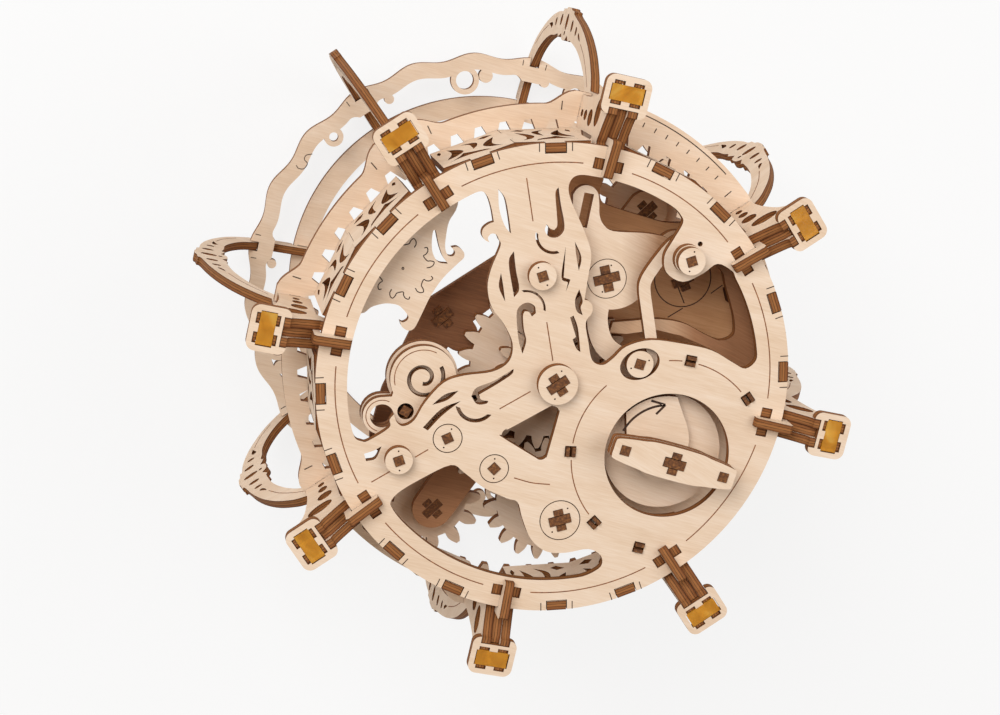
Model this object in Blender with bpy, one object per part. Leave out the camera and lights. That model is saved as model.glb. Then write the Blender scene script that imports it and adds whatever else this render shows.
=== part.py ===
"""A hand wound mechanical puzzle of laser cut plywood.

Rear clock-like plate with a winding key, gear train and planets inside, a ring
gear plate, eight radial arches and two front rings. All lengths are written in
millimetres in the frame of the rear plate: x right and y up as seen from the
rear, z = 0 on its outer face. The finished object stands on its front ring.
"""
import math

import bmesh
import bpy
from mathutils import Matrix, Vector
from mathutils.geometry import delaunay_2d_cdt

MM = 0.001
PLY = 3.0
GAP = 0.3
LIFT = 161.6

# Radii of the round frame. The ring gear sets those of its plate, and that plate's lobes set the arches and the wavy ring.
REAR_R = 75.0
RIM_IN = REAR_R - 9.7
RING_TEETH, PLANET_TEETH = 60, 12
RING_MODULE = 2.5
MID_R = RING_MODULE * RING_TEETH / 2 + 8.0
LOBE_R = MID_R + 4.7
FORK_R = LOBE_R - 3.0
WAVE_R = LOBE_R + 1.6
SLOT_R = WAVE_R - 2.3
FRONT_OUT = REAR_R - 2.0
FRONT_IN = FRONT_OUT - 7.4
FRONT_Z = PLY - LIFT
WAVE_Z = FRONT_Z + 11.6

ARMS = [30 + 45 * k for k in range(8)]
PANEL_OFFSET = 13.56
OPEN_BAY = (300, 345)

CROSS_SPAN = 7.0
SQUARE = 3.0
ROUND_FOR_CROSS = 4.2
ROUND_FOR_SQUARE = 2.6

# Axes seen from the rear
MAIN = (0.0, 0.0)
CRANK = (35.1, -26.5)
IDLER_A = (-34.8, -15.3)
IDLER_B = (0.0, -45.0)
IDLER_C = (-20.5, -26.3)
ROCKER = (18.2, 30.6)
ROCKER_END = (26.8, 4.0)
SCROLL = (-47.2, -6.5)
POSTS = [(-3.9, 34.6), (42.2, 36.9), (-50.6, -20.4)]
ORBIT = RING_MODULE * (RING_TEETH - PLANET_TEETH) / 2
CARRIER_ANGLE = 52.0
KEY_ANGLE = -19.7

LIGHT = (0.84, 0.68, 0.50, 1.0)
DARK = (0.45, 0.28, 0.16, 1.0)
AMBER = (0.80, 0.52, 0.06, 1.0)


def layer(k):
    """Bottom and top of the k-th 3 mm layer below the rear plate."""
    top = -PLY - GAP - k * (PLY + GAP)
    return top - PLY, top


def polar(r, a, c=MAIN):
    return (c[0] + r * math.cos(math.radians(a)), c[1] + r * math.sin(math.radians(a)))


def arc(c, r, a0, a1, n):
    """n + 1 points from angle a0 to a1 in degrees."""
    return [polar(r, a0 + (a1 - a0) * k / n, c) for k in range(n + 1)]


def circle(c, r, n):
    return [polar(r, 360 * k / n, c) for k in range(n)]


def ellipse(c, rx, ry, turn=0.0, n=8):
    ca, sa = math.cos(math.radians(turn)), math.sin(math.radians(turn))
    out = []
    for k in range(n):
        u = rx * math.cos(2 * math.pi * k / n)
        v = ry * math.sin(2 * math.pi * k / n)
        out.append((c[0] + u * ca - v * sa, c[1] + u * sa + v * ca))
    return out


def turned(points, c, turn):
    """Points given about the origin, turned and moved to c."""
    ca, sa = math.cos(math.radians(turn)), math.sin(math.radians(turn))
    return [(c[0] + u * ca - v * sa, c[1] + u * sa + v * ca) for u, v in points]


def rect(c, w, h, turn=0.0):
    return turned([(-w / 2, -h / 2), (w / 2, -h / 2), (w / 2, h / 2), (-w / 2, h / 2)], c, turn)


def cross(c, grow=0.0, turn=0.0):
    """Outline of the cross axle built from two notched 3 mm strips."""
    s = CROSS_SPAN / 2 + grow
    t = PLY / 2 + grow
    pts = [(s, -t), (s, t), (t, t), (t, s), (-t, s), (-t, t)]
    return turned(pts + [(-u, -v) for u, v in pts], c, turn)


def strip(points, width):
    """Flat-ended band of even width along a polyline."""
    left = []
    right = []
    for k, p in enumerate(points):
        a = Vector(points[max(k - 1, 0)])
        b = Vector(points[min(k + 1, len(points) - 1)])
        d = (b - a).normalized()
        n = Vector((-d.y, d.x)) * width / 2
        left.append((p[0] + n.x, p[1] + n.y))
        right.append((p[0] - n.x, p[1] - n.y))
    return left + right[::-1]


def flow(points, k=2):
    """Smooth curve through the given points, k steps between neighbours."""
    out = []
    last = len(points) - 1
    for i in range(last):
        a, b = points[max(i - 1, 0)], points[i]
        c, d = points[i + 1], points[min(i + 2, last)]
        for s in (j / k for j in range(k)):
            out.append(tuple(
                0.5 * (2 * b[m] + (c[m] - a[m]) * s
                       + (2 * a[m] - 5 * b[m] + 4 * c[m] - d[m]) * s * s
                       + (3 * b[m] - a[m] - 3 * c[m] + d[m]) * s ** 3)
                for m in (0, 1)))
    return out + [points[-1]]


def teeth(c, count, module, phase, addendum=0.85, dedendum=1.2, slack=0.34):
    """Spur gear outline: straight flanks through the root and tip of a 25 degree involute."""
    pitch = count * module / 2
    base = pitch * math.cos(math.radians(25))
    root, tip = pitch - dedendum * module, pitch + addendum * module

    def roll(r):
        x = math.acos(min(1.0, base / r))
        return math.tan(x) - x

    low, high = (math.degrees(math.pi / (2 * count) - slack / (2 * pitch) + roll(pitch) - roll(r)) for r in (root, tip))
    step = 360 / count
    low = min(low, step * 0.36)
    out = []
    for k in range(count):
        a = phase + k * step
        out += [polar(root, a - low, c), polar(tip, a - high, c), polar(tip, a + high, c), polar(root, a + low, c)]
    return out


def inner_teeth(count, module, phase, addendum=0.85, dedendum=1.25):
    """Outline of the internal gear: straight flanks pointing inwards."""
    pitch = count * module / 2
    step = 360 / count
    wide, narrow = step * 0.36, step * 0.115
    root, tip = pitch + dedendum * module, pitch - addendum * module
    out = []
    for k in range(count):
        a = phase + k * step
        out += [polar(root, a - wide), polar(tip, a - narrow), polar(tip, a + narrow), polar(root, a + wide)]
    return out


def flat(a, b, w):
    """Plate parallel to the rear plate: w is its height."""
    return (a, b, w + LIFT)


def radial(angle):
    """Plate standing in the plane of an arm: a radius, b height, w sideways."""
    ca, sa = math.cos(math.radians(angle)), math.sin(math.radians(angle))
    return lambda a, b, w: (a * ca - w * sa, a * sa + w * ca, b + LIFT)


def tangent(angle):
    """Plate facing outwards: a sideways, b height, w distance from the axis."""
    ca, sa = math.cos(math.radians(angle)), math.sin(math.radians(angle))
    return lambda a, b, w: (w * ca - a * sa, w * sa + a * ca, b + LIFT)


def inside(p, loop):
    hit = False
    for (x0, y0), (x1, y1) in zip(loop, loop[1:] + loop[:1]):
        if (y0 > p[1]) != (y1 > p[1]) and p[0] < x0 + (p[1] - y0) * (x1 - x0) / (y1 - y0):
            hit = not hit
    return hit


def prism(bm, outline, holes, low, high, seat=flat):
    """Add one sheet cut along outline and holes, between low and high."""
    loops = [list(outline)] + [list(h) for h in holes]
    points = [p for loop in loops for p in loop]
    edges = []
    start = 0
    for loop in loops:
        n = len(loop)
        edges += [(start + k, start + (k + 1) % n) for k in range(n)]
        start += n
    verts, _, faces, source, _, _ = delaunay_2d_cdt([Vector(p) for p in points], edges, [], 1, 1e-7)
    if len(verts) != len(points):
        odd = [(round(v.x, 2), round(v.y, 2)) for v, own in zip(verts, source) if len(own) != 1]
        raise ValueError(f"outlines cross or repeat a point at {odd}")
    low_v = [bm.verts.new([c * MM for c in seat(v.x, v.y, low)]) for v in verts]
    high_v = [bm.verts.new([c * MM for c in seat(v.x, v.y, high)]) for v in verts]
    index = {s[0]: k for k, s in enumerate(source)}
    new = []
    for f in faces:
        mid = [sum(verts[k][m] for k in f) / 3 for m in (0, 1)]
        if sum(inside(mid, loop) for loop in loops) % 2:
            new.append(bm.faces.new([low_v[k] for k in f]))
            new.append(bm.faces.new([high_v[k] for k in reversed(f)]))
    for a, b in edges:
        i, j = index[a], index[b]
        new.append(bm.faces.new([low_v[i], low_v[j], high_v[j], high_v[i]]))
    bmesh.ops.recalc_face_normals(bm, faces=new)


def union(outlines, opening=()):
    """Boundary loops of overlapping outlines, the outer one first; opening cuts the first outline only."""
    loops = list(outlines) + ([opening] if opening else [])
    points = [p for loop in loops for p in loop]
    edges = []
    start = 0
    for loop in loops:
        n = len(loop)
        edges += [(start + k, start + (k + 1) % n) for k in range(n)]
        start += n
    verts, _, faces, _, _, _ = delaunay_2d_cdt([Vector(p) for p in points], edges, [], 1, 1e-5)
    sides = set()
    for f in faces:
        mid = [sum(verts[k][m] for k in f) / 3 for m in (0, 1)]
        first = inside(mid, outlines[0]) and not (opening and inside(mid, opening))
        if first or any(inside(mid, loop) for loop in outlines[1:]):
            for a, b in zip(f, f[1:] + f[:1]):
                if (b, a) in sides:
                    sides.remove((b, a))
                else:
                    sides.add((a, b))
    follow = {a: b for a, b in sorted(sides)}
    loops = []
    while follow:
        first = next(iter(follow))
        loop = [first]
        here = follow.pop(first)
        while here != first:
            loop.append(here)
            here = follow.pop(here)
        kept = []
        for k, v in enumerate(loop):
            a, b, c = verts[loop[k - 1]], verts[v], verts[loop[(k + 1) % len(loop)]]
            turn = (b - a).normalized().cross((c - b).normalized())
            if abs(turn) > 0.01 and (b - a).length > 0.05:
                kept.append(tuple(b))
        if len(kept) > 3:
            loops.append(kept)
    return sorted(loops, key=lambda loop: -max(x for x, _ in loop) + min(x for x, _ in loop))


def sheet_mesh(name, sheet):
    bm = bmesh.new()
    prism(bm, *sheet)
    mesh = bpy.data.meshes.new(name)
    bm.to_mesh(mesh)
    bm.free()
    return mesh


def fused_mesh(name, sheets, cuts):
    """One body: the sheets joined, then the cuts taken away, by exact Booleans."""
    body = bpy.data.objects.new(name, sheet_mesh(name, sheets[0]))
    bpy.context.collection.objects.link(body)
    helpers = []
    for sheet, operation in [(x, "UNION") for x in sheets[1:]] + [(x, "DIFFERENCE") for x in cuts]:
        helper = bpy.data.objects.new("helper", sheet_mesh("helper", sheet))
        bpy.context.collection.objects.link(helper)
        helpers.append(helper)
        join = body.modifiers.new(operation, "BOOLEAN")
        join.operation = operation
        join.solver = "EXACT"
        join.object = helper
    graph = bpy.context.evaluated_depsgraph_get()
    mesh = bpy.data.meshes.new_from_object(body.evaluated_get(graph))
    for obj in helpers + [body]:
        bpy.data.objects.remove(obj, do_unlink=True)
    return mesh


def place(name, mesh, colour, pivot=None, turn=0.0):
    obj = bpy.data.objects.new(name, mesh)
    if pivot:
        obj.location = (pivot[0] * MM, pivot[1] * MM, LIFT * MM)
    obj.rotation_euler.z = math.radians(turn)
    bpy.context.collection.objects.link(obj)
    mat = bpy.data.materials.new(name)
    mat.use_nodes = True
    shader = mat.node_tree.nodes["Principled BSDF"]
    shader.inputs["Base Color"].default_value = colour
    shader.inputs["Roughness"].default_value = 0.35 if colour == AMBER else 0.7
    if not mesh.materials:
        mesh.materials.append(mat)
        mesh.shade_smooth()
        mesh.set_sharp_from_angle(angle=math.radians(30))
    obj.material_slots[0].link = "OBJECT"
    obj.material_slots[0].material = mat
    return obj


def node(name, sheets, colour=LIGHT, pivot=None, cuts=()):
    """Named object of one body; pivot puts its origin on the axis it turns about."""
    mesh = fused_mesh(name, sheets, cuts) if len(sheets) > 1 or cuts else sheet_mesh(name, sheets[0])
    mesh.name = name
    if pivot:
        mesh.transform(Matrix.Translation((-pivot[0] * MM, -pivot[1] * MM, -LIFT * MM)))
    return place(name, mesh, colour, pivot)


def ring_of(name, sheets, angles, colour=LIGHT, cuts=()):
    """The same body at several angles round the main axis."""
    mesh = fused_mesh(name, sheets, cuts) if len(sheets) > 1 or cuts else sheet_mesh(name, sheets[0])
    mesh.name = name
    for k, a in enumerate(angles):
        place(f"{name}_{k + 1}", mesh, colour, None, a)


for old in list(bpy.data.objects):
    bpy.data.objects.remove(old, do_unlink=True)

# Outlines shared by several pieces, in the frame of one arm
CHEEK_IN = PLY / 2 + GAP
CHEEK_OUT = CHEEK_IN + PLY
MID_LOW, MID_HIGH = layer(10)
LENS_R = LOBE_R + 4.15
LENS_LOW = -0.6
LENS_HIGH = LENS_LOW + PLY


def rim_holes():
    """Square holes in the rear rim for the tabs of the cheeks."""
    out = []
    for a in ARMS:
        for side in (-1, 1):
            mid = side * (CHEEK_IN + CHEEK_OUT) / 2
            out.append(turned(rect((REAR_R - 5.6, mid), 3.8, 3.6), MAIN, a))
    return out


def rim_outline(r, half, depth, step=6.0):
    """Round plate edge with open notches for the side panels."""
    cut = math.degrees(math.asin(half / r))
    stops = []
    for a in ARMS:
        for sign in (-1, 1):
            facing = a if (a, sign) not in ((OPEN_BAY[0], 1), (OPEN_BAY[1], -1)) else None
            if facing is not None:
                stops.append(a + sign * PANEL_OFFSET)
    stops.sort()
    out = []
    for here, there in zip(stops, stops[1:] + [stops[0] + 360]):
        out += turned([(depth, -half), (depth, half)], MAIN, here)
        a0, a1 = here + cut, there - cut
        n = max(2, round((a1 - a0) / step))
        out += arc(MAIN, r, a0, a1, n)
    return out


# Rear plate
OPENING_LEFT = (
    arc(MAIN, RIM_IN, 186, 110, 14)
    + flow([(-20.0, 60.3), (-18.7, 56.5), (-18.0, 51.8)])
    + [(-19.6, 51.3), (-21.3, 50.0), (-21.8, 48.2), (-21.0, 46.5), (-19.6, 45.6)]
    + [(-20.0, 47.0), (-18.9, 48.2), (-17.4, 47.9), (-16.6, 46.2)]
    + flow([(-16.2, 44.2), (-19.3, 37.4), (-20.6, 31.6), (-19.5, 25.3), (-16.0, 20.0), (-13.4, 13.5),
            (-14.7, 7.9), (-20.0, 5.0), (-28.9, 4.4), (-35.3, 2.6), (-41.3, -3.2), (-45.0, -8.7), (-48.4, -10.3)])
    + [(-50.4, -8.9), (-51.2, -6.3), (-52.6, -7.9), (-52.9, -10.5), (-59.5, -14.1), (-61.6, -14.1), (-63.7, -12.6)]
)
OPENING_LOW = (
    flow([(-34.2, -24.0), (-30.0, -26.8), (-24.2, -32.1), (-16.8, -36.3), (-13.4, -37.9), (-12.1, -43.2), (-9.5, -50.5),
          (-4.7, -55.0), (1.5, -56.0), (8.9, -55.4), (12.9, -57.9), (12.9, -61.6), (7.9, -64.2)])
    + arc(MAIN, RIM_IN - 0.5, -88, -142, 12)
    + [(-53.2, -36.3), (-53.4, -34.2), (-50.5, -31.3), (-43.6, -27.7)]
)
OPENING_SMALL = (
    arc((-15.6, -15.8), 2.2, 80, 190, 2) + arc((-5.5, -22.4), 2.2, -140, -20, 3) + arc((-1.5, -9.6), 2.2, -10, 110, 3)
)
OPENING_RIGHT = (
    [(6.8, 63.9), (9.5, 64.7)]
    + arc(MAIN, RIM_IN + 0.1, 78, 54, 6)
    + flow([(40.5, 50.5), (41.2, 47.9), (37.9, 42.6), (35.2, 37.9), (35.8, 32.6), (41.0, 29.4), (47.4, 31.6),
            (52.1, 34.4), (56.8, 31.8)])
    + arc(MAIN, RIM_IN - 0.3, 27, 6, 5)
    + flow([(64.5, 2.6), (61.0, 0.1), (56.8, 2.4), (50.0, 6.8), (41.0, 9.5), (30.6, 11.5), (22.6, 10.0), (18.4, 6.6),
            (15.0, 4.6), (11.6, 6.3), (10.5, 12.1), (9.8, 18.4)])
    + [(11.7, 21.2), (12.1, 23.5), (11.0, 25.2), (9.6, 25.8)]
    + flow([(9.9, 27.6), (10.8, 32.5), (12.0, 40.0), (10.0, 47.4), (6.3, 56.4), (5.4, 61.0)])
)
STEM_CUTS = [
    [(-16.3, 61.8), (-16.2, 55.8), (-14.7, 50.5), (-12.8, 47.9), (-13.4, 53.7), (-14.3, 58.9)],
    [(2.3, 61.3), (1.3, 59.6), (1.5, 54.0), (1.6, 49.6), (0.6, 48.2), (-0.6, 48.7), (-1.7, 50.1), (-2.3, 48.2),
     (-1.0, 46.2), (1.5, 45.9), (3.5, 47.6), (3.8, 50.4), (2.9, 56.0)],
    arc((0.5, 46.5), 5.8, 166, 286, 6) + arc((0.5, 46.5), 4.9, 280, 172, 5),
    [(4.1, 42.9), (3.2, 33.2), (5.3, 32.4), (3.8, 28.7), (4.5, 31.6), (2.5, 33.4)],
    [(-12.1, 42.4), (-13.8, 38.9), (-12.5, 28.0), (-10.8, 30.5), (-11.6, 36.3)],
    [(7.0, 44.2), (7.3, 39.8), (8.0, 35.0), (8.9, 39.2)],
    [(-16.3, 35.9), (-17.1, 31.6), (-15.3, 26.8), (-15.7, 31.4)],
    arc((-9.0, 23.8), 6.3, 100, -8, 6) + arc((-9.0, 23.8), 5.6, -4, 94, 5),
    [(-10.4, 10.0), (-11.5, 14.5), (-11.9, 22.1), (-11.0, 24.9), (-8.4, 26.1), (-6.2, 24.9), (-5.8, 22.6), (-7.1, 21.6),
     (-8.0, 23.1), (-9.3, 23.4), (-9.9, 21.9), (-9.7, 17.5), (-9.1, 14.0)],
    [(8.0, 29.2), (6.6, 25.9), (7.0, 22.4), (8.9, 20.9), (8.3, 23.4), (9.0, 25.4)],
    [(6.0, 21.0), (4.9, 20.5), (6.6, 14.2), (5.5, 13.4), (6.6, 10.5), (7.9, 9.2), (7.3, 16.8)],
]
SPOKE_CUTS = [
    [(-13.3, 5.4), (-19.5, 2.1), (-25.2, 0.2), (-26.9, -2.4), (-25.2, -5.0), (-22.3, -5.1), (-21.6, -4.3), (-23.9, -3.6),
     (-24.4, -2.0), (-18.7, 0.9), (-14.0, 3.7)],
    [(-39.2, -4.2), (-35.2, -1.2), (-30.8, -0.3), (-34.4, -3.0)],
    [(-42.4, -11.2), (-40.9, -12.3), (-36.2, -7.8), (-30.2, -3.6), (-36.4, -5.7)],
    arc((-25.5, -4.5), 6.4, 186, 318, 5) + arc((-25.5, -4.5), 5.2, 310, 194, 4),
    [(-61.0, -18.2), (-60.5, -20.6), (-57.5, -20.0), (-55.5, -16.2), (-57.9, -17.4)],
]
PIN_ANGLES = (173, 75, 32, -108, -140)
PIN_R = 31.4
PIN_PROUD = 0.9
pin_spots = [(polar(PIN_R, a, CRANK), a) for a in PIN_ANGLES]
rear_holes = (
    [OPENING_LEFT, OPENING_LOW, OPENING_SMALL, OPENING_RIGHT]
    + STEM_CUTS + SPOKE_CUTS + rim_holes()
    + [circle(CRANK, 20.3, 36), ellipse(ROCKER_END, 6.5, 4.9, 17, 16)]
    + [circle(MAIN, ROUND_FOR_CROSS, 16), circle(IDLER_B, 6.6, 18)]
    + [circle(IDLER_A, 4.7, 14), circle(IDLER_C, 4.7, 14)]
    + [rect(p, SQUARE + 2 * GAP, SQUARE + 2 * GAP, 15) for p in POSTS]
    + [rect(p, SQUARE + 2 * GAP, SQUARE + 2 * GAP, a) for p, a in pin_spots]
)
node("rear_plate", [(rim_outline(REAR_R, 3.4, REAR_R - 3.3), rear_holes, -PLY, 0.0)])

# Open ring under the rear plate that carries five split pins; it is narrow beside the click lever
RING_OUT, RING_SLIM, RING_BORE = 34.0, 25.6, 21.2
RING_LIMIT = RIM_IN + 0.1


def ring_edge(a0, a1, n):
    """Outer edge about the crank, cut back where it would pass the limit about the main axis."""
    out = []
    for x, y in arc(MAIN, 1.0, a0, a1, n):
        b = CRANK[0] * x + CRANK[1] * y
        r = min(RING_OUT, math.sqrt(b * b - CRANK[0] ** 2 - CRANK[1] ** 2 + RING_LIMIT ** 2) - b)
        out.append((CRANK[0] + r * x, CRANK[1] + r * y))
    return out


motor_ring = (
    ring_edge(12, 75, 6) + arc(CRANK, RING_SLIM, 88, 130, 4) + ring_edge(143, 280, 12) + arc(CRANK, RING_BORE, 280, 12, 20)
)
low, high = layer(0)
pins = [(rect(p, SQUARE, SQUARE, a), [], low + 1, PIN_PROUD) for p, a in pin_spots]
node("motor_ring", [(motor_ring, [], low, high)] + pins)

# Ring gear plate with its lobes and dial
def mid_outline():
    """Outer edge: lobes at the arms, a full width dial in the bay at 30 to 75 degrees."""
    out = []
    for a in ARMS:
        left = [(LOBE_R, -7.0), (LOBE_R, -1.8), (FORK_R - GAP, -1.8), (FORK_R - GAP, 1.8), (LOBE_R, 1.8), (LOBE_R, 7.0)]
        out += turned(left, MAIN, a)
        if a == 30:
            out += arc(MAIN, LOBE_R + 0.2, a + 7, a + 38, 7)
        else:
            out += [polar(LOBE_R - 1.5, a + 6.4), polar(MID_R + 1.0, a + 8.6)] + arc(MAIN, MID_R, a + 11, a + 34, 5)
            out += [polar(MID_R + 1.0, a + 36.4), polar(LOBE_R - 1.5, a + 38.6)]
    return out


RING_PHASE = 3.0
mid_holes = [inner_teeth(RING_TEETH, RING_MODULE, RING_PHASE)]
for a in ARMS:
    for side in (-1, 1):
        mid = side * (CHEEK_IN + CHEEK_OUT) / 2
        mid_holes.append(turned(rect((MID_R - 1.6, mid), 3.6, 3.6), MAIN, a))
node("ring_gear_plate", [(mid_outline(), mid_holes, MID_LOW, MID_HIGH)])

# Front rings
# Bubbles of each kind of bay: degrees from its arm, depth below WAVE_R, outer and bore radii (0 leaves it solid)
BUBBLES = [
    [(32.6, 7.2, 4.4, 2.6), (41.4, 6.9, 1.8, 0)],
    [(12.1, 7.4, 2.6, 0), (17.7, 8.7, 5.3, 3.4), (38.4, 7.7, 1.8, 0)],
    [(10.9, 7.3, 3.6, 1.7)],
    [(3.8, 8.4, 1.7, 0), (26.6, 8.7, 5.3, 3.4), (32.2, 7.4, 2.6, 0)],
]


def wavy_outline():
    """Three waves to a bay, with an open slot for each arch."""
    out = []
    for a in ARMS:
        out += turned([(WAVE_R + 1.0, -1.8), (SLOT_R, -1.8), (SLOT_R, 1.8), (WAVE_R + 1.0, 1.8)], MAIN, a)
        out += [polar(WAVE_R + 1.1 * math.cos(math.radians(24 * t)), a + t) for t in (5 * k for k in range(1, 9))]
    return out


def wavy_inner():
    """Inner edge, lower behind each slot."""
    out = []
    for a in ARMS:
        out += [polar(WAVE_R - 8.5, a - 2.2), polar(WAVE_R - 8.5, a + 2.2)]
        for t in (5, 10, 15, 20, 25, 30, 35, 40):
            out.append(polar(WAVE_R - 5.9 + 0.9 * math.cos(math.radians(24 * t)), a + t))
    return out


spots = [(polar(WAVE_R - d, a + t), big, bore) for k, a in enumerate(ARMS) for t, d, big, bore in BUBBLES[k % 4]]
wave = union([wavy_outline()] + [circle(c, big, 12 if big > 2 else 7) for c, big, _ in spots], wavy_inner())
wave_bores = [circle(c, bore, 8) for c, _, bore in spots if bore]
node("wavy_ring", [(wave[0], wave[1:] + wave_bores, WAVE_Z - PLY, WAVE_Z)])
slots = [turned(rect((FRONT_OUT - 3.8, 0.0), 4.6, 3.6), MAIN, a) for a in ARMS]
node("front_ring", [(circle(MAIN, FRONT_OUT, 56), [circle(MAIN, FRONT_IN, 48)] + slots, FRONT_Z - PLY, FRONT_Z)])

# Arches: radii are measured from the lobes of the ring gear plate or from the front ring, and the heights between the two
# are stretched with their distance
tip = FRONT_Z - PLY + GAP
RISE = (MID_LOW - FRONT_Z) / 119.3


def limb(points, r=LOBE_R):
    return [(r + u, MID_LOW + (z + 39.3) * RISE) for u, z in points]


ARCH_OUT = [(0.5, -40.5), (3.5, -43.1), (6.3, -46.5), (11.5, -55.0), (16.1, -66.0), (19.6, -78.0), (22.3, -91.0), (23.3, -92.0),
            (23.7, -96.5), (24.5, -98.0), (24.5, -104.0), (23.7, -105.5), (23.5, -110.0), (22.5, -111.0), (21.9, -118.0),
            (19.7, -128.0), (15.9, -138.0), (10.5, -147.5), (3.3, -154.5)]
ARCH_END = [(9.5, FRONT_Z - 0.6), (3.0, tip), (0.4, tip), (0.4, FRONT_Z + GAP), (-1.8, FRONT_Z + GAP), (-1.8, tip), (-5.8, tip),
            (-5.8, FRONT_Z + GAP), (-7.0, FRONT_Z + GAP), (-7.0, FRONT_Z + 3.4), (-0.5, FRONT_Z + 4.7), (7.5, FRONT_Z + 6.4)]
ARCH_NOTCH = [(LOBE_R - 4.4, WAVE_Z - PLY - GAP), (SLOT_R + GAP, WAVE_Z - PLY - GAP), (SLOT_R + GAP, WAVE_Z - 0.6)]
ARCH_IN = [(5.7, -141.5), (10.1, -133.5),
           (12.9, -124.5), (13.5, -117.0), (14.3, -112.5), (13.3, -110.5), (14.9, -106.0), (12.9, -103.5), (12.9, -98.5),
           (14.7, -96.0), (12.9, -92.0), (13.3, -89.5), (11.6, -77.0), (8.1, -65.0), (3.5, -54.5), (-1.5, -47.2)]
ARCH_FORK = [(-3.0, MID_LOW - GAP), (-3.0, MID_HIGH + GAP), (-8.7, MID_HIGH + GAP), (-8.7, -29.0), (-7.3, -26.4), (0.5, -26.4)]
arch_outline = (
    limb(ARCH_OUT) + [(FRONT_OUT + u, z) for u, z in ARCH_END] + ARCH_NOTCH + limb(ARCH_IN)
    + [(LOBE_R + u, z) for u, z in ARCH_FORK]
)
ARCH_OVALS = [(18.5, -101.2, 2.7, 1.7, 8), (18.5, -91.3, 1.8, 1.4, 6), (18.5, -110.8, 1.8, 1.4, 6),
              (16.9, -83.0, 1.3, 1.1, 6), (17.7, -119.0, 1.3, 1.1, 6)]
arch_holes = [ellipse(limb([(u, z)])[0], a, b, 0, n) for u, z, a, b, n in ARCH_OVALS]
arch_holes += [limb([(15.5, -78.9), (14.2, -74.2), (16.2, -77.6)]), limb([(16.7, -123.3), (16.5, -127.6), (15.2, -124.0)])]
ring_of("arch", [(arch_outline, arch_holes, -PLY / 2, PLY / 2, radial(0))], ARMS)

# Cheeks, wedges and lanterns of the arms
SEAT = LENS_LOW - GAP
GRIP = LENS_LOW + 0.2
TAB_R = [(LENS_R - 4.8, LENS_R - 3.45), (LENS_R + 3.45, LENS_R + 4.8)]
(in0, in1), (out0, out1) = TAB_R
cheek_outline = (
    [(MID_R - 6.6, MID_HIGH + GAP), (MID_R - 6.6, -12.0), (REAR_R - 2.0, -8.6), (REAR_R - 8.6, -7.4), (REAR_R - 8.6, -3.3),
     (REAR_R - 7.2, -3.3), (REAR_R - 7.2, 0.0), (REAR_R - 4.0, 0.0), (REAR_R - 4.0, -3.3), (REAR_R, -3.3), (REAR_R + 1.2, -5.0),
     (LENS_R - 11.05, -5.0), (LENS_R - 8.45, -3.6), (LENS_R - 7.05, GRIP)]
    + [(in0, GRIP), (in0, LENS_HIGH), (in1, LENS_HIGH), (in1, SEAT), (out0, SEAT), (out0, LENS_HIGH), (out1, LENS_HIGH)]
    + [(out1, GRIP), (LENS_R + 6.55, GRIP), (LENS_R + 6.55, -4.8), (LENS_R + 2.65, -7.2), (LENS_R - 1.25, -12.0)]
    + [(LENS_R - 3.25, -19.0)]
    + [(MID_R + 4.2, -27.0), (MID_R + 4.0, MID_HIGH + GAP), (MID_R - 0.1, MID_HIGH + GAP), (MID_R - 0.1, MID_LOW)]
    + [(MID_R - 3.1, MID_LOW), (MID_R - 3.1, MID_HIGH + GAP)]
)
cheek_holes = [
    ellipse((LENS_R - 8.25, -10.9), 3.5, 3.1, 0, 8),
    ellipse((MID_R - 2.0, -19.3), 2.5, 2.3, 0, 6),
    ellipse((MID_R - 1.8, -26.2), 1.6, 1.5, 0, 5),
]
wedge = [(RIM_IN + 0.4, GAP), (REAR_R + 0.3, GAP), (REAR_R + 0.3, -9.0), (REAR_R + 2.6, -9.0), (REAR_R + 2.6, 4.4),
         (REAR_R + 1.8, 5.2), (RIM_IN + 0.9, 3.0), (RIM_IN + 0.4, 2.4)]
spacer = [(REAR_R + u, v) for u, v in ((1.8, -16.5), (4.4, -16.5), (4.4, -8.0), (1.8, -8.0))]


def lantern_frame():
    """Rounded square frame with a window that also takes the four cheek tabs."""
    half_r, half_t, corner = 7.6, 7.9, 3.0
    frame = []
    for q, (su, sv) in enumerate(((1, 1), (-1, 1), (-1, -1), (1, -1))):
        c = (LENS_R + su * (half_r - corner), sv * (half_t - corner))
        frame += arc(c, corner, 90 * q, 90 * q + 90, 3)
    u0, u1, v0, v1, v2 = 3.25, 4.8 + GAP, CHEEK_IN - GAP, CHEEK_OUT + GAP, 6.05
    side = [(u0, -v2), (u0, -v1), (u1, -v1), (u1, -v0), (u0, -v0), (u0, v0), (u1, v0), (u1, v1), (u0, v1), (u0, v2)]
    window = [(LENS_R + u, v) for u, v in side] + [(LENS_R - u, -v) for u, v in side]
    return frame, [window], LENS_LOW, LENS_HIGH


arm_sheets = [
    (spacer, [], -CHEEK_IN - 0.5, CHEEK_IN + 0.5, radial(0)),
    (cheek_outline, cheek_holes, CHEEK_IN, CHEEK_OUT, radial(0)),
    (cheek_outline, cheek_holes, -CHEEK_OUT, -CHEEK_IN, radial(0)),
    (wedge, [], -PLY / 2, PLY / 2, radial(0)),
    lantern_frame(),
]
ring_of("lantern_arm", arm_sheets, ARMS)
ring_of("amber_lens", [(rect((LENS_R, 0.0), 5.9, 11.5), [], LENS_LOW, LENS_HIGH - 0.2)], ARMS, AMBER)

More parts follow.
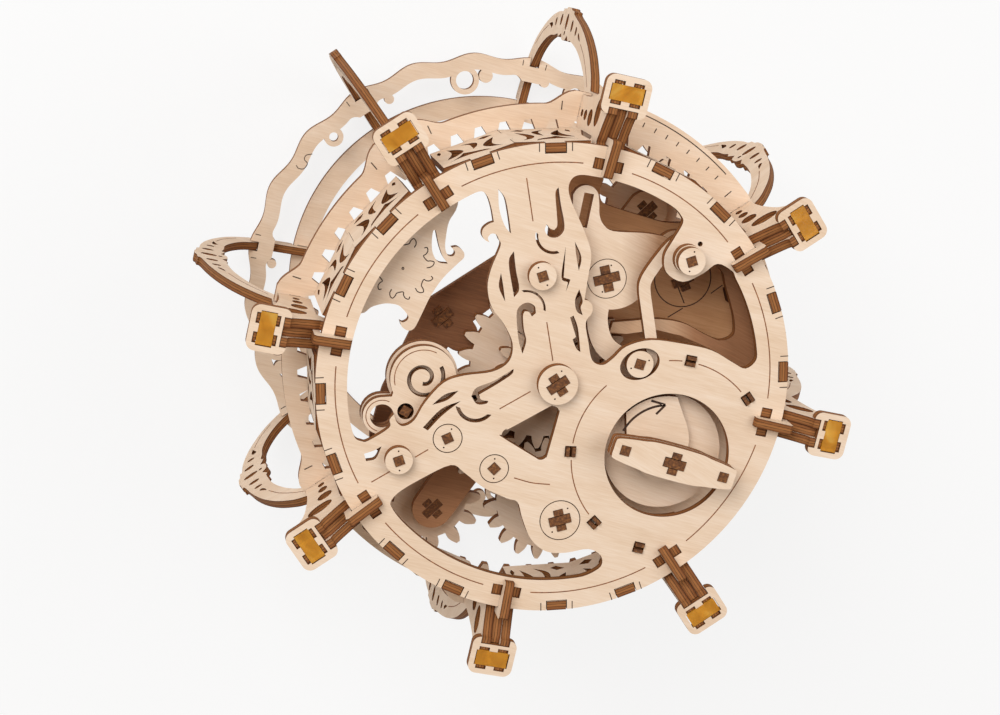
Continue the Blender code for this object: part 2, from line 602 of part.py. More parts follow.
# Side panels
PANEL_HIGH = -PLY - GAP
PANEL_LOW = MID_HIGH + GAP
MEET = 11.75
END = 11.5
NOTCH = 3.1
panel_outline = [(-END, PANEL_LOW), (MEET, PANEL_LOW), (MEET, PANEL_HIGH), (NOTCH, PANEL_HIGH), (NOTCH, 0.0), (-NOTCH, 0.0),
                 (-NOTCH, PANEL_HIGH), (-END, PANEL_HIGH)]
panel_cuts = [
    [(-9.0, -8.0), (-2.0, -10.5), (3.5, -8.0), (-1.0, -14.5)],
    [(8.2, -9.0), (6.2, -17.0), (8.0, -26.0), (3.2, -17.0)],
    [(-8.5, -14.0), (-2.5, -20.0), (-6.0, -31.0), (-6.8, -21.0)],
    [(0.5, -19.0), (2.5, -26.0), (-1.5, -31.5)],
]
halves = []
for sign in (1, -1):
    outline = [(sign * u, v) for u, v in panel_outline]
    cuts = [[(sign * u, v) for u, v in cut] for cut in panel_cuts]
    halves.append((outline, cuts, REAR_R - PLY, REAR_R, tangent(sign * (PANEL_OFFSET - 22.5))))
ring_of("bay_panel", halves, [a + 22.5 for a in ARMS if a != OPEN_BAY[0]])

# Inner bridge, its posts and the parts fixed to the rear plate
def capsule(p, q, r0, r1, n=4):
    """Convex link with round ends of radius r0 about p and r1 about q."""
    d = Vector((q[0] - p[0], q[1] - p[1]))
    a = math.degrees(math.atan2(d.y, d.x))
    lean = math.degrees(math.asin((r0 - r1) / d.length))
    return arc(p, r0, a + 90 - lean, a + 270 + lean, n) + arc(q, r1, a - 90 + lean, a + 90 - lean, n)


BRIDGE_LOW, BRIDGE_HIGH = layer(7)
CROSS_STUB = (-31.4, 17.6)
SIDE_STUB = (47.6, 24.4)
SQUARE_STUB = (-25.8, 11.4)
links = [
    (POSTS[2], SCROLL, 6.0, 5.0), (SCROLL, CROSS_STUB, 5.0, 7.2), (CROSS_STUB, POSTS[0], 7.2, 6.0),
    (CROSS_STUB, SQUARE_STUB, 7.2, 5.6), (POSTS[0], ROCKER, 6.0, 7.4), (ROCKER, POSTS[1], 7.4, 6.0),
    (POSTS[2], IDLER_A, 6.0, 5.6), (IDLER_A, MAIN, 5.6, 9.0), (MAIN, CRANK, 9.0, 8.6), (MAIN, POSTS[0], 9.0, 6.0),
    (IDLER_A, IDLER_C, 5.6, 5.4), (IDLER_C, IDLER_B, 5.4, 8.4), (IDLER_B, CRANK, 8.4, 8.6),
]
BRIDGE_SIDE = arc(MAIN, RIM_IN + 4.2, -14, 37, 8) + flow([
    (50.0, 43.2), (42.0, 43.8), (34.7, 46.2), (26.0, 49.4), (16.0, 52.6), (6.0, 46.0), (4.0, 34.0), (12.0, 20.0), (8.0, 6.0),
    (24.0, -8.0), (44.0, -12.0), (56.0, -13.0)])
bridge_loops = union([BRIDGE_SIDE] + [capsule(*link) for link in links])
bridge_bores = [circle(c, ROUND_FOR_CROSS, 12) for c in (MAIN, CRANK, IDLER_B)]
bridge_bores += [circle(c, ROUND_FOR_SQUARE, 10) for c in (IDLER_A, IDLER_C)]
WASHER_LOW, WASHER_HIGH = GAP, GAP + PLY
PROUD = 0.3


def washer(c, r, low, n=14):
    return (circle(c, r, n), [], low, low + PLY)


def square_bore(c, turn):
    return rect(c, SQUARE + 2 * GAP, SQUARE + 2 * GAP, turn)


TALL_POST = POSTS[1]
# Hook shaped guard between the bridge and the rear plate: it goes round the right side of the drum gear
GUARD_BLOCKS = [(62.5, 0.6), (63.6, 19.4)]
side_guard = (
    [(20.2, 11.8), (25.6, 10.9), (35.4, 11.6), (43.5, 9.1), (53.9, 3.8), (60.5, -2.4), (66.4, -6.6)]
    + arc(MAIN, RIM_IN + 4.2, -3, 38, 6)
    + arc(TALL_POST, 6.5, 70, 250, 6)
    + flow([(45.6, 30.4), (51.0, 32.6), (55.1, 31.2), (57.6, 28.6), (58.3, 25.0), (60.2, 18.1), (61.3, 12.5), (60.8, 8.0),
            (56.6, 6.6), (51.7, 8.8), (44.1, 13.2), (35.4, 15.1), (27.8, 15.1)])
    + [(21.3, 15.0)]
)
bridge_sheets = [(bridge_loops[0], bridge_loops[1:] + bridge_bores, BRIDGE_LOW, BRIDGE_HIGH)]
for p in POSTS:
    top = WASHER_HIGH + (PLY + GAP if p == TALL_POST else 0.0)
    bridge_sheets += [(rect(p, SQUARE, SQUARE, 15), [], BRIDGE_LOW + 1, top + PROUD), washer(p, 4.3, top - PLY)]
bridge_sheets.append(washer(TALL_POST, 5.4, WASHER_LOW))
bridge_sheets.append((rect(SCROLL, SQUARE, SQUARE, -35), [], BRIDGE_LOW + 1, -PLY - GAP + PROUD))
bridge_sheets += [(cross(ROCKER, 0, 15), [], BRIDGE_LOW + 1, PROUD - PLY - GAP), washer(ROCKER, 6.1, layer(0)[0])]
bridge_sheets += [(cross(p, 0, a), [], BRIDGE_LOW + 1, BRIDGE_HIGH + 0.8) for p, a in ((CROSS_STUB, 35), (SIDE_STUB, 20))]
bridge_sheets.append((side_guard, [], *layer(3)))
bridge_sheets += [(rect(p, 4.4, 4.4, 12), [], BRIDGE_LOW + 1, layer(3)[0] + 1) for p in GUARD_BLOCKS]
node("bridge_plate", bridge_sheets, DARK)

# Leaf spring that bears on the axle of the click lever, clamped on the upper right post
spring = union([
    circle(TALL_POST, 7.0, 20),
    strip(flow([(38.6, 40.6), (36.4, 38.4), (32.2, 33.3), (29.9, 29.6), (29.5, 26.6), (30.0, 21.8), (31.2, 12.0), (32.2, 2.0)]),
          3.7),
])
low, high = layer(1)
spring_bore = square_bore(TALL_POST, 15)
spring_sheets = [(spring[0], [], *layer(0)), (circle(TALL_POST, 4.3, 18), [], low, high + 1)]
node("leaf_spring", spring_sheets, LIGHT, None, [(spring_bore, [], low - 1, 1.0)])

# Scroll cut sector plate under the upper left of the rim, hung on two spacer blocks
sector = (
    arc(MAIN, REAR_R - 4.2, 112, 158, 8)
    + flow([(-59.0, 24.0), (-52.0, 26.6), (-46.7, 25.4), (-44.4, 22.4)])
    + [(-44.6, 21.0), (-46.0, 20.3), (-47.0, 20.8), (-46.4, 18.9), (-44.6, 17.6)]
    + flow([(-42.6, 18.2), (-40.3, 22.1), (-37.1, 28.0), (-33.2, 33.2), (-28.7, 37.3), (-26.4, 39.2)])
    + [(-26.4, 41.6), (-28.0, 43.0), (-29.9, 42.9), (-28.9, 41.4), (-29.6, 40.2), (-31.2, 40.6), (-31.9, 42.9)]
    + flow([(-31.6, 46.0), (-30.4, 51.0), (-27.5, 56.0)])
)
sector_slit = [(-34.6, 48.5), (-33.8, 43.8), (-32.8, 40.4), (-31.3, 37.9), (-34.2, 38.6), (-35.8, 41.4), (-36.0, 45.0),
               (-35.4, 48.4)]
low, high = layer(2)
blocks = [(rect(polar(REAR_R - 6.8, a), 4.4, 4.4, a), [], low + 1, layer(0)[1]) for a in (133, 150)]
node("sector_plate", [(sector, [sector_slit], low, high)] + blocks)

# Click lever with its square axle in the oval slot
lever_plate = (
    arc((12.1, 56.3), 4.1, 168, 2, 6)
    + flow([(16.3, 53.8), (16.3, 50.9), (17.4, 47.9), (20.6, 45.5), (29.9, 44.4), (35.6, 43.2), (38.0, 42.2), (36.6, 40.2),
            (33.2, 34.4), (31.6, 29.4), (31.0, 26.0), (28.2, 23.5), (25.3, 21.7), (21.6, 20.7), (17.8, 20.9), (13.0, 22.6),
            (9.6, 27.0), (9.0, 34.0), (8.4, 42.0), (7.8, 49.0)])
)
lever_arm = strip(flow([(16.0, 25.0), (14.9, 17.0), (16.6, 10.0), (21.0, 5.8), (26.8, 4.0)]), 6.6)
lever = union([lever_plate, lever_arm, circle(ROCKER_END, 4.6, 16)])
lever_slot = strip([(13.2, 57.8), (10.7, 47.4)], 2.7)
node("click_lever", [(lever[0], [circle(ROCKER, ROUND_FOR_CROSS, 16), lever_slot, square_bore(ROCKER_END, -20)], *layer(1))],
     LIGHT, ROCKER)
axle = (rect(ROCKER_END, SQUARE, SQUARE, -20), [], layer(1)[0], 2 * PROUD)
node("click_lever_axle", [axle, washer(ROCKER_END, 4.3, PROUD - PLY)], DARK, ROCKER)

# Scroll lever of two layers
EYE = (-54.6, -7.4)
LOBE = (-41.2, 3.6)
scroll_top = union([circle(LOBE, 10.3, 20), capsule(SCROLL, LOBE, 5.6, 7.5), capsule(SCROLL, EYE, 5.0, 6.0)])
spiral_out = [polar(7.2 - 4.9 * k / 14, 30 - 35 * k, LOBE) for k in range(15)]
spiral_in = [polar(max(5.9 - 4.9 * k / 14, 0.9), 30 - 35 * k, LOBE) for k in range(14, -1, -1)]
scroll_back = union([circle(LOBE, 11.2, 20), capsule(SCROLL, LOBE, 5.6, 8.0), capsule(SCROLL, EYE, 5.0, 6.4)])
low, high = layer(1)[0], layer(0)[1]
scroll_sheets = [(scroll_top[0], [spiral_out + spiral_in], layer(0)[0], high), (scroll_back[0], [], low, layer(0)[0] + 0.3)]
scroll_bores = [(circle(SCROLL, ROUND_FOR_SQUARE, 12), [], low - 1, high + 1), (circle(EYE, 3.7, 14), [], low - 1, high + 1)]
node("scroll_lever", scroll_sheets, LIGHT, SCROLL, scroll_bores)

# Winding key, drum and drum gear on the crank axle
KEY_LOW = 3.5
KEY_HALF = 20.4
PIN_OFF = 16.6
key_pins = [polar(s * PIN_OFF, KEY_ANGLE, CRANK) for s in (1, -1)]
edge = [(KEY_HALF, -2.6), (KEY_HALF, 2.6), (KEY_HALF - 0.8, 3.4), (KEY_HALF * 0.55, 4.6), (5.0, 5.6)]
key_bar = turned(edge + [(-u, v) for u, v in edge[:1:-1]] + [(-u, -v) for u, v in edge]
                 + [(u, -v) for u, v in edge[:1:-1]], CRANK, KEY_ANGLE)
KEY_HIGH = KEY_LOW + 2 * PLY + GAP
crank_bore = cross(CRANK, GAP, KEY_ANGLE)
bars = [(key_bar, [crank_bore], KEY_LOW, KEY_LOW + PLY), (key_bar, [crank_bore], KEY_HIGH - PLY, KEY_HIGH)]
pins = [(rect(p, SQUARE, SQUARE, KEY_ANGLE), [], KEY_LOW + 1, KEY_HIGH + PROUD) for p in key_pins]
node("winding_key", bars + pins, LIGHT, CRANK)
node("winding_axle", [(cross(CRANK, 0, KEY_ANGLE), [], BRIDGE_LOW, KEY_HIGH + PROUD)], DARK, CRANK)
arrow_edge = arc(CRANK, 19.6, 62, 330, 22) + arc(CRANK, 15.0, 330, 398, 5) + [polar(17.2, 50, CRANK)]
node("arrow_disc", [(arrow_edge, [crank_bore], *layer(0))], LIGHT, CRANK)
drum_low, drum_high = layer(4)[0], layer(1)[1]
flanges = [(circle(CRANK, 19.0, 24), [], *layer(4)), (circle(CRANK, 11.0, 14), [], drum_low + 1, drum_high - 1),
           (circle(CRANK, 19.0, 24), [], *layer(1))]
node("winding_drum", flanges, LIGHT, CRANK, [(crank_bore, [], drum_low - 1, drum_high + 1)])

DRUM_TEETH, MAIN_TEETH, STAR_TEETH = 30, 14, 26
A_TEETH, B_TEETH, SMALL_TEETH = 12, 19, 9


def mesh_phase(c1, n1, phase1, c2, n2):
    """Phase that sets gear 2 with a gap where gear 1 has a tooth."""
    line = math.degrees(math.atan2(c2[1] - c1[1], c2[0] - c1[0]))
    part = ((line - phase1) * n1 / 360) % 1
    return line + 180 - 360 / n2 * (0.5 - part)


drum_phase = 0.0
main_phase = mesh_phase(CRANK, DRUM_TEETH, drum_phase, MAIN, MAIN_TEETH)
star_phase = main_phase
a_phase = mesh_phase(MAIN, STAR_TEETH, star_phase, IDLER_A, A_TEETH)
b_phase = mesh_phase(MAIN, STAR_TEETH, star_phase, IDLER_B, B_TEETH)
c_phase = mesh_phase(IDLER_A, SMALL_TEETH, a_phase, IDLER_C, SMALL_TEETH)
node("drum_gear", [(teeth(CRANK, DRUM_TEETH, 2.0, drum_phase), [crank_bore], *layer(5))], LIGHT, CRANK)

# Main axle with pinion, star gear and planet carrier
MAIN_TURN = 30.0
main_bore = cross(MAIN, GAP, MAIN_TURN)
FRONT_BAR = layer(11)
axle = (cross(MAIN, 0, MAIN_TURN), [], FRONT_BAR[0], WASHER_HIGH + PROUD)
node("main_axle", [axle, (circle(MAIN, 6.3, 20), [], WASHER_LOW, WASHER_HIGH)], DARK, MAIN)
node("main_pinion", [(teeth(MAIN, MAIN_TEETH, 2.0, main_phase), [main_bore], *layer(5))], DARK, MAIN)
node("star_gear", [(teeth(MAIN, STAR_TEETH, 2.0, star_phase), [main_bore], *layer(6))], LIGHT, MAIN)
planet_spots = [polar(ORBIT, CARRIER_ANGLE + 180 * k) for k in (0, 1)]
arm = union([circle(MAIN, 10.0, 24), capsule(MAIN, planet_spots[0], 7.5, 6.6), capsule(MAIN, planet_spots[1], 7.5, 6.6)])
low, high = layer(8)
tips = [(cross(p, 0, CARRIER_ANGLE - 13), [], FRONT_BAR[0], high + PROUD - 0.15) for p in planet_spots]
core = (circle(MAIN, 7.0, 20), [], layer(10)[0], low + 1)
rear_cut = (main_bore, [], FRONT_BAR[0], high + 1)
node("planet_carrier_rear", [(arm[0], [], low, high), core] + tips, DARK, MAIN, [rear_cut])
tip_bores = [cross(p, GAP, CARRIER_ANGLE - 13) for p in planet_spots]
node("planet_carrier_front", [(arm[0], [main_bore] + tip_bores, *FRONT_BAR)], DARK, MAIN)

for k, spot in enumerate(planet_spots):
    line = CARRIER_ANGLE + 180 * k
    ring_part = ((line - RING_PHASE) * RING_TEETH / 360) % 1
    phase = line - 360 / PLANET_TEETH * (ring_part - 0.5)
    outline = teeth(spot, PLANET_TEETH, RING_MODULE, phase)
    node(f"planet_gear_{k + 1}", [(outline, [circle(spot, ROUND_FOR_CROSS, 16)], *layer(10))], LIGHT, spot)

# Idlers: axle, bearing disc flush with the rear plate, gears
def idler_axle(name, c, outline, r):
    """Axle whose rear end is fixed in a disc that runs flush in the rear plate."""
    node(name, [(outline, [], BRIDGE_LOW, PROUD), (circle(c, r, 14), [], -PLY, 0.0)], DARK, c)


idler_axle("idler_a_axle", IDLER_A, rect(IDLER_A, SQUARE, SQUARE, 20), 4.4)
idler_axle("idler_b_axle", IDLER_B, cross(IDLER_B, 0, 10), 6.3)
idler_axle("idler_c_axle", IDLER_C, rect(IDLER_C, SQUARE, SQUARE, 40), 4.4)
wheel_low, wheel_high = layer(6)
small_low, small_high = layer(5)
compound = [(teeth(IDLER_A, A_TEETH, 2.0, a_phase, 0.65), [], wheel_low, wheel_high),
            (teeth(IDLER_A, SMALL_TEETH, 2.0, a_phase), [], small_low, small_high),
            (circle(IDLER_A, 6.0, 14), [], wheel_high - 1, small_low + 1)]
node("idler_a_wheel", compound, LIGHT, IDLER_A, [(square_bore(IDLER_A, 20), [], wheel_low - 1, small_high + 1)])
node("idler_b_wheel", [(teeth(IDLER_B, B_TEETH, 2.0, b_phase), [cross(IDLER_B, GAP, 10)], wheel_low, wheel_high)],
     LIGHT, IDLER_B)
node("idler_c_pinion", [(teeth(IDLER_C, SMALL_TEETH, 2.0, c_phase), [square_bore(IDLER_C, 40)], small_low, small_high)],
     LIGHT, IDLER_C)
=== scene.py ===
"""Looks of a hand wound plywood puzzle: round rear plate with key, gear train, eight lantern arms, arches and rings."""
import math

import bmesh
import bpy
import numpy as np
from mathutils import Matrix, Vector
from mathutils.geometry import delaunay_2d_cdt


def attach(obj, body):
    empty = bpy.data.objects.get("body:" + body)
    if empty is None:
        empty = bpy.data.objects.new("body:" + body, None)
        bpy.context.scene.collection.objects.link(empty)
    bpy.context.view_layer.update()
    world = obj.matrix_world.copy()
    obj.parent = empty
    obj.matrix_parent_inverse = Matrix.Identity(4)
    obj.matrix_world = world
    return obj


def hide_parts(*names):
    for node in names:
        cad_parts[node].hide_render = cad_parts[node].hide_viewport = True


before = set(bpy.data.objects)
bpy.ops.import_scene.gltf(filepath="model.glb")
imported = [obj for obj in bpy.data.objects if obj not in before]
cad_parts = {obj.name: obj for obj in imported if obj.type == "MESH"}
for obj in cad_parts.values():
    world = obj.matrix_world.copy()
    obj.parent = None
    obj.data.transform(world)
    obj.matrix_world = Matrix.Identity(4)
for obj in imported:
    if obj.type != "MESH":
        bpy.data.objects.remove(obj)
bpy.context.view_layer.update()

# Camera where the photographer stood: upper left of the rear plate, 72 mm lens. Its pose is
# written in millimetres from the centre of the rear plate's outer face, which is LIFT above the table.
LIFT = 161.6
spin = Vector((0.232833, 0.161225, 0.051558))
to_camera = Matrix.Rotation(spin.length, 3, spin)
eye = to_camera.transposed() @ -(Vector((0.23388, -0.104573, -8.311819)) * 75.0)
camera = bpy.data.objects.new("camera", bpy.data.cameras.new("camera"))
camera.data.lens = 72.006
camera.data.clip_start, camera.data.clip_end = 0.05, 20.0
camera.matrix_world = Matrix.Translation((eye + Vector((0, 0, LIFT))) / 1000) @ to_camera.transposed().to_4x4()
bpy.context.collection.objects.link(camera)
bpy.context.scene.camera = camera


# Rear plate. One sheet of 3 mm birch plywood cut by laser: scroll windows, square holes for the tabs of
# the arms, open notches for the side panels. Its edges are charred dark, its face is bare and pale.
def linear(code):
    """Linear RGBA of an sRGB hex code."""
    c = np.array([int(code[k:k + 2], 16) for k in (1, 3, 5)]) / 255
    return (*np.where(c <= 0.04045, c / 12.92, ((c + 0.055) / 1.055) ** 2.4), 1.0)


def add(tree, kind, sockets=None, **settings):
    """Adds one node. A socket in sockets becomes a link, any other value a constant."""
    made = tree.nodes.new(kind)
    for name, value in settings.items():
        setattr(made, name, value)
    for name, value in (sockets or {}).items():
        if isinstance(value, bpy.types.NodeSocket):
            tree.links.new(value, made.inputs[name])
        else:
            made.inputs[name].default_value = value
    return made


def start(name):
    """A material with only its output and shader, and the tree they are in."""
    made = bpy.data.materials.new(name)
    made.use_nodes = True
    return made, made.node_tree, made.node_tree.nodes["Principled BSDF"]


def ramp(tree, value, stops):
    """Colour ramp through (place, hex colour) stops."""
    made = add(tree, "ShaderNodeValToRGB", {"Fac": value})
    while len(made.color_ramp.elements) < len(stops):
        made.color_ramp.elements.new(0.5)
    for element, (place, code) in zip(made.color_ramp.elements, stops):
        element.position = place
        element.color = linear(code)
    return made.outputs["Color"]


def ply_face(tree, place, tone):
    """Rotary cut birch veneer: pores 0.3 mm wide drawn out along the grain under a broad, faint figure."""
    turned = add(tree, "ShaderNodeMapping", {"Vector": place, "Rotation": (0, 0, math.radians(24))})
    pores = add(tree, "ShaderNodeMapping", {"Vector": turned.outputs[0], "Scale": (160, 2600, 900)})
    figure = add(tree, "ShaderNodeMapping", {"Vector": turned.outputs[0], "Scale": (22, 120, 120)})
    fine = add(tree, "ShaderNodeTexNoise", {"Vector": pores.outputs[0], "Scale": 1.0, "Detail": 3.0})
    broad = add(tree, "ShaderNodeTexNoise", {"Vector": figure.outputs[0], "Scale": 1.0, "Detail": 2.0, "Distortion": 0.6})
    both = add(tree, "ShaderNodeMath", {0: fine.outputs["Fac"], 1: broad.outputs["Fac"]}, operation="ADD")
    half = add(tree, "ShaderNodeMath", {0: both.outputs[0], 1: 0.5}, operation="MULTIPLY")
    return ramp(tree, half.outputs[0], [(0.32, tone[0]), (0.5, tone[1]), (0.68, tone[2])]), half.outputs[0]


PALE = ("#E1C4A7", "#EAD0B6", "#F1DBC5")
birch, tree, shader = start("birch_plywood_sanded_face")
place = add(tree, "ShaderNodeAttribute", attribute_name="sheet").outputs["Vector"]
colour, height = ply_face(tree, place, PALE)
tree.links.new(colour, shader.inputs["Base Color"])
bump = add(tree, "ShaderNodeBump", {"Height": height, "Strength": 0.12, "Distance": 0.0004})
tree.links.new(bump.outputs["Normal"], shader.inputs["Normal"])
shader.inputs["Roughness"].default_value = 0.62
shader.inputs["Specular IOR Level"].default_value = 0.3

# The laser burns the edge of the sheet: dark glue lines, lighter veneers between them, sooty towards the faces
edge, tree, shader = start("laser_charred_plywood_edge")
place = add(tree, "ShaderNodeAttribute", attribute_name="sheet").outputs["Vector"]
across = add(tree, "ShaderNodeSeparateXYZ", {"Vector": place}).outputs["Z"]
streak = add(tree, "ShaderNodeMapping", {"Vector": place, "Scale": (350, 350, 2200)})
soot = add(tree, "ShaderNodeTexNoise", {"Vector": streak.outputs[0], "Scale": 1.0, "Detail": 4.0})
shift = add(tree, "ShaderNodeMath", {0: soot.outputs["Fac"], 1: 0.16}, operation="MULTIPLY")
share = add(tree, "ShaderNodeMath", {0: across, 1: 1000 / 3.0, 2: 0.42}, operation="MULTIPLY_ADD")
band = add(tree, "ShaderNodeMath", {0: share.outputs[0], 1: shift.outputs[0]}, operation="ADD")
veneers = [(0.0, "#4A2B17"), (0.12, "#86532C"), (0.3, "#99663B"), (0.35, "#4C2D18"), (0.42, "#A87040"), (0.58, "#986136"),
           (0.65, "#4A2C17"), (0.72, "#955F35"), (0.9, "#7C4A28"), (1.0, "#482913")]
tree.links.new(ramp(tree, band.outputs[0], veneers), shader.inputs["Base Color"])
shader.inputs["Roughness"].default_value = 0.75
shader.inputs["Specular IOR Level"].default_value = 0.2


def polar(r, a, c=(0.0, 0.0)):
    """Points at radii r and angles a in degrees round c."""
    t = np.radians(a)
    return np.stack([c[0] + r * np.cos(t), c[1] + r * np.sin(t)], -1)


def arc(c, r, a0, a1, n):
    return polar(r, np.linspace(a0, a1, n + 1), c)


def circle(c, r, n=64):
    return polar(r, np.arange(n) * 360 / n, c)


def oval(c, rx, ry, turn=0.0, n=28):
    """Ellipse about c with its long radius at the given angle."""
    flat_ring = circle((0, 0), 1.0, n) * (rx, ry)
    return turned(flat_ring, c, turn)


def turned(points, c, turn):
    """Points given about the origin, turned and moved to c."""
    ca, sa = math.cos(math.radians(turn)), math.sin(math.radians(turn))
    return np.asarray(points, float) @ np.array([[ca, sa], [-sa, ca]]) + np.asarray(c)


def rect(c, w, h, turn=0.0):
    return turned([(-w / 2, -h / 2), (w / 2, -h / 2), (w / 2, h / 2), (-w / 2, h / 2)], c, turn)


def flow(points, k=5):
    """Catmull-Rom curve through the points: (2b + (c-a)s + (2a-5b+4c-d)s2 + (3b-a-3c+d)s3) / 2 on each span b to c."""
    p = np.asarray(points, float)
    p = np.vstack([2 * p[0] - p[1], p, 2 * p[-1] - p[-2]])
    a, b, c, d = (p[j:len(p) - 3 + j, None] for j in range(4))
    s = (np.arange(k) / k)[None, :, None]
    spans = (2 * b + (c - a) * s + (2 * a - 5 * b + 4 * c - d) * s ** 2 + (3 * b - a - 3 * c + d) * s ** 3) / 2
    return np.vstack([spans.reshape(-1, 2), p[-2]])


def smooth(points, corner=70, k=4):
    """Closed outline made a curve between the corners that turn by more than the given angle."""
    p = np.asarray(points, float)
    before, after = p - np.roll(p, 1, 0), np.roll(p, -1, 0) - p
    turn = np.degrees(np.abs(np.arctan2(before[:, 0] * after[:, 1] - before[:, 1] * after[:, 0], (before * after).sum(1))))
    sharp = np.flatnonzero(turn > corner)
    if len(sharp) == 0:
        wrapped = np.vstack([p[-2:], p, p[:3]])
        return flow(wrapped, k)[2 * k:-2 * k - 1]
    p = np.roll(p, -sharp[0], 0)
    stops = list(sharp - sharp[0]) + [len(p)]
    p = np.vstack([p, p[:1]])
    return np.vstack([flow(p[i:j + 1], k)[:-1] if j - i > 1 else p[i:j] for i, j in zip(stops, stops[1:])])


def strip(points, width):
    """Flat-ended band of even width along a polyline."""
    p = np.asarray(points, float)
    ahead = np.gradient(p, axis=0)
    side = np.stack([-ahead[:, 1], ahead[:, 0]], -1) / np.linalg.norm(ahead, axis=1)[:, None] * width / 2
    return np.vstack([p + side, (p - side)[::-1]])


PLY, GAP = 3.0, 0.3


def layer(k):
    """Low and high face of the sheet k + 1 places under the rear plate, each GAP below the last."""
    high = -(PLY + GAP) * (k + 1)
    return high - PLY, high


def lying(a, b, w):
    """Seat of a sheet parallel to the rear plate: w is its height."""
    return np.stack([a, b, w + LIFT], -1)


def upright(angle, c=(0.0, 0.0)):
    """Seat of a sheet on edge: a runs from c at that angle, b is height, w goes sideways."""
    ca, sa = math.cos(math.radians(angle)), math.sin(math.radians(angle))
    return lambda a, b, w: np.stack([c[0] + a * ca - w * sa, c[1] + a * sa + w * ca, b + LIFT], -1)


def facing(angle):
    """Seat of a sheet that faces outwards: a sideways, b height, w distance from the main axis."""
    ca, sa = math.cos(math.radians(angle)), math.sin(math.radians(angle))
    return lambda a, b, w: np.stack([w * ca - a * sa, w * sa + a * ca, b + LIFT], -1)


def cut_sheet(name, loops, low, high, seat=lying, finish=None):
    """Sheet between low and high, cut on closed loops in mm. Its sheet attribute holds metres along the grain of its
    own patch of the stock, across the grain, and from the middle of the sheet."""
    curve = bpy.data.curves.new(name, "CURVE")
    curve.dimensions, curve.fill_mode, curve.extrude = "2D", "BOTH", (high - low) / 2
    for loop in loops:
        spline = curve.splines.new("POLY")
        spline.points.add(len(loop) - 1)
        spline.points.foreach_set("co", np.c_[np.asarray(loop, float), np.zeros(len(loop)), np.ones(len(loop))].ravel())
        spline.use_cyclic_u = True
    helper = bpy.data.objects.new(name, curve)
    raw = bpy.data.meshes.new_from_object(helper)
    bpy.data.objects.remove(helper)
    bpy.data.curves.remove(curve)
    welded = bmesh.new()
    welded.from_mesh(raw)
    bmesh.ops.remove_doubles(welded, verts=welded.verts, dist=0.001)
    bmesh.ops.recalc_face_normals(welded, faces=welded.faces)
    welded.to_mesh(raw)
    co = np.empty(len(raw.vertices) * 3, np.float32)
    raw.vertices.foreach_get("co", co)
    co = co.reshape(-1, 3)
    normal = np.empty(len(raw.polygons) * 3, np.float32)
    raw.polygons.foreach_get("normal", normal)
    patch = sum(ord(letter) * (j + 3) for j, letter in enumerate(name))
    stock = co / 1000 @ np.array(Matrix.Rotation(math.radians(patch % 23 - 11), 3, "Z")) + (patch % 17 * 0.3, patch % 13 * 0.3, 0)
    raw.attributes.new("sheet", "FLOAT_VECTOR", "POINT").data.foreach_set("vector", stock.astype(np.float32).ravel())
    placed = seat(co[:, 0], co[:, 1], co[:, 2] + (low + high) / 2) / 1000
    raw.vertices.foreach_set("co", placed.astype(np.float32).ravel())
    for material in finish or (birch, edge):
        raw.materials.append(material)
    raw.polygons.foreach_set("material_index", (np.abs(normal.reshape(-1, 3)[:, 2]) < 0.5).astype(np.int32))
    welded.clear()
    welded.from_mesh(raw)
    bmesh.ops.recalc_face_normals(welded, faces=welded.faces)
    welded.to_mesh(raw)
    welded.free()
    raw.shade_smooth()
    raw.set_sharp_from_angle(angle=math.radians(28))
    raw.name = name
    made = bpy.data.objects.new(name, raw)
    bpy.context.collection.objects.link(made)
    return made


def wood(name, body, nodes, *sheet, slot="birch_plywood", **more):
    """A cut sheet that rides on a body and stands for CAD nodes."""
    made = cut_sheet(name, *sheet, **more)
    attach(made, body)
    if nodes:
        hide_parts(*nodes)
    return made


ARMS = np.arange(8) * 45 + 30
OPEN_BAY = (300, 345)
CRANK, MAIN = (35.1, -26.5), (0.0, 0.0)
IDLER_A, IDLER_B, IDLER_C = (-34.8, -15.3), (0.0, -45.0), (-20.5, -26.3)
ROCKER, ROCKER_END, SCROLL = (18.2, 30.6), (26.8, 4.0), (-47.2, -6.5)
POSTS = [(-3.9, 34.6), (42.2, 36.9), (-50.6, -20.4)]
PANEL_OFFSET = 13.56
notches = sorted(a + s * PANEL_OFFSET for a in ARMS for s in (-1, 1) if (a, s) not in ((300, 1), (345, -1)))
REAR_R, NOTCH_R, NOTCH_HALF = 75.0, 71.7, 3.4
cut = math.degrees(math.asin(NOTCH_HALF / REAR_R))
rim = np.vstack([
    np.vstack([turned([(NOTCH_R, -NOTCH_HALF), (NOTCH_R, NOTCH_HALF)], MAIN, here),
               arc(MAIN, REAR_R, here + cut, there - cut, 24)])
    for here, there in zip(notches, notches[1:] + [notches[0] + 360])
])
window_left = np.vstack([
    arc(MAIN, 65.3, 186, 110, 14),
    [(-20.0, 60.3), (-18.7, 56.5), (-18.0, 51.8), (-19.6, 51.3), (-21.3, 50.0), (-21.8, 48.2), (-21.0, 46.5), (-19.6, 45.6),
     (-20.0, 47.0), (-18.9, 48.2), (-17.4, 47.9), (-16.6, 46.2), (-16.2, 44.2), (-19.3, 37.4), (-20.6, 31.6), (-19.5, 25.3),
     (-16.0, 20.0), (-13.4, 13.5), (-14.7, 7.9), (-20.0, 5.0), (-28.9, 4.4), (-35.3, 2.6), (-41.3, -3.2), (-45.0, -8.7),
     (-48.4, -10.3), (-50.4, -8.9), (-51.2, -6.3), (-52.6, -7.9), (-52.9, -10.5), (-59.5, -14.1), (-61.6, -14.1),
     (-63.7, -12.6)],
])
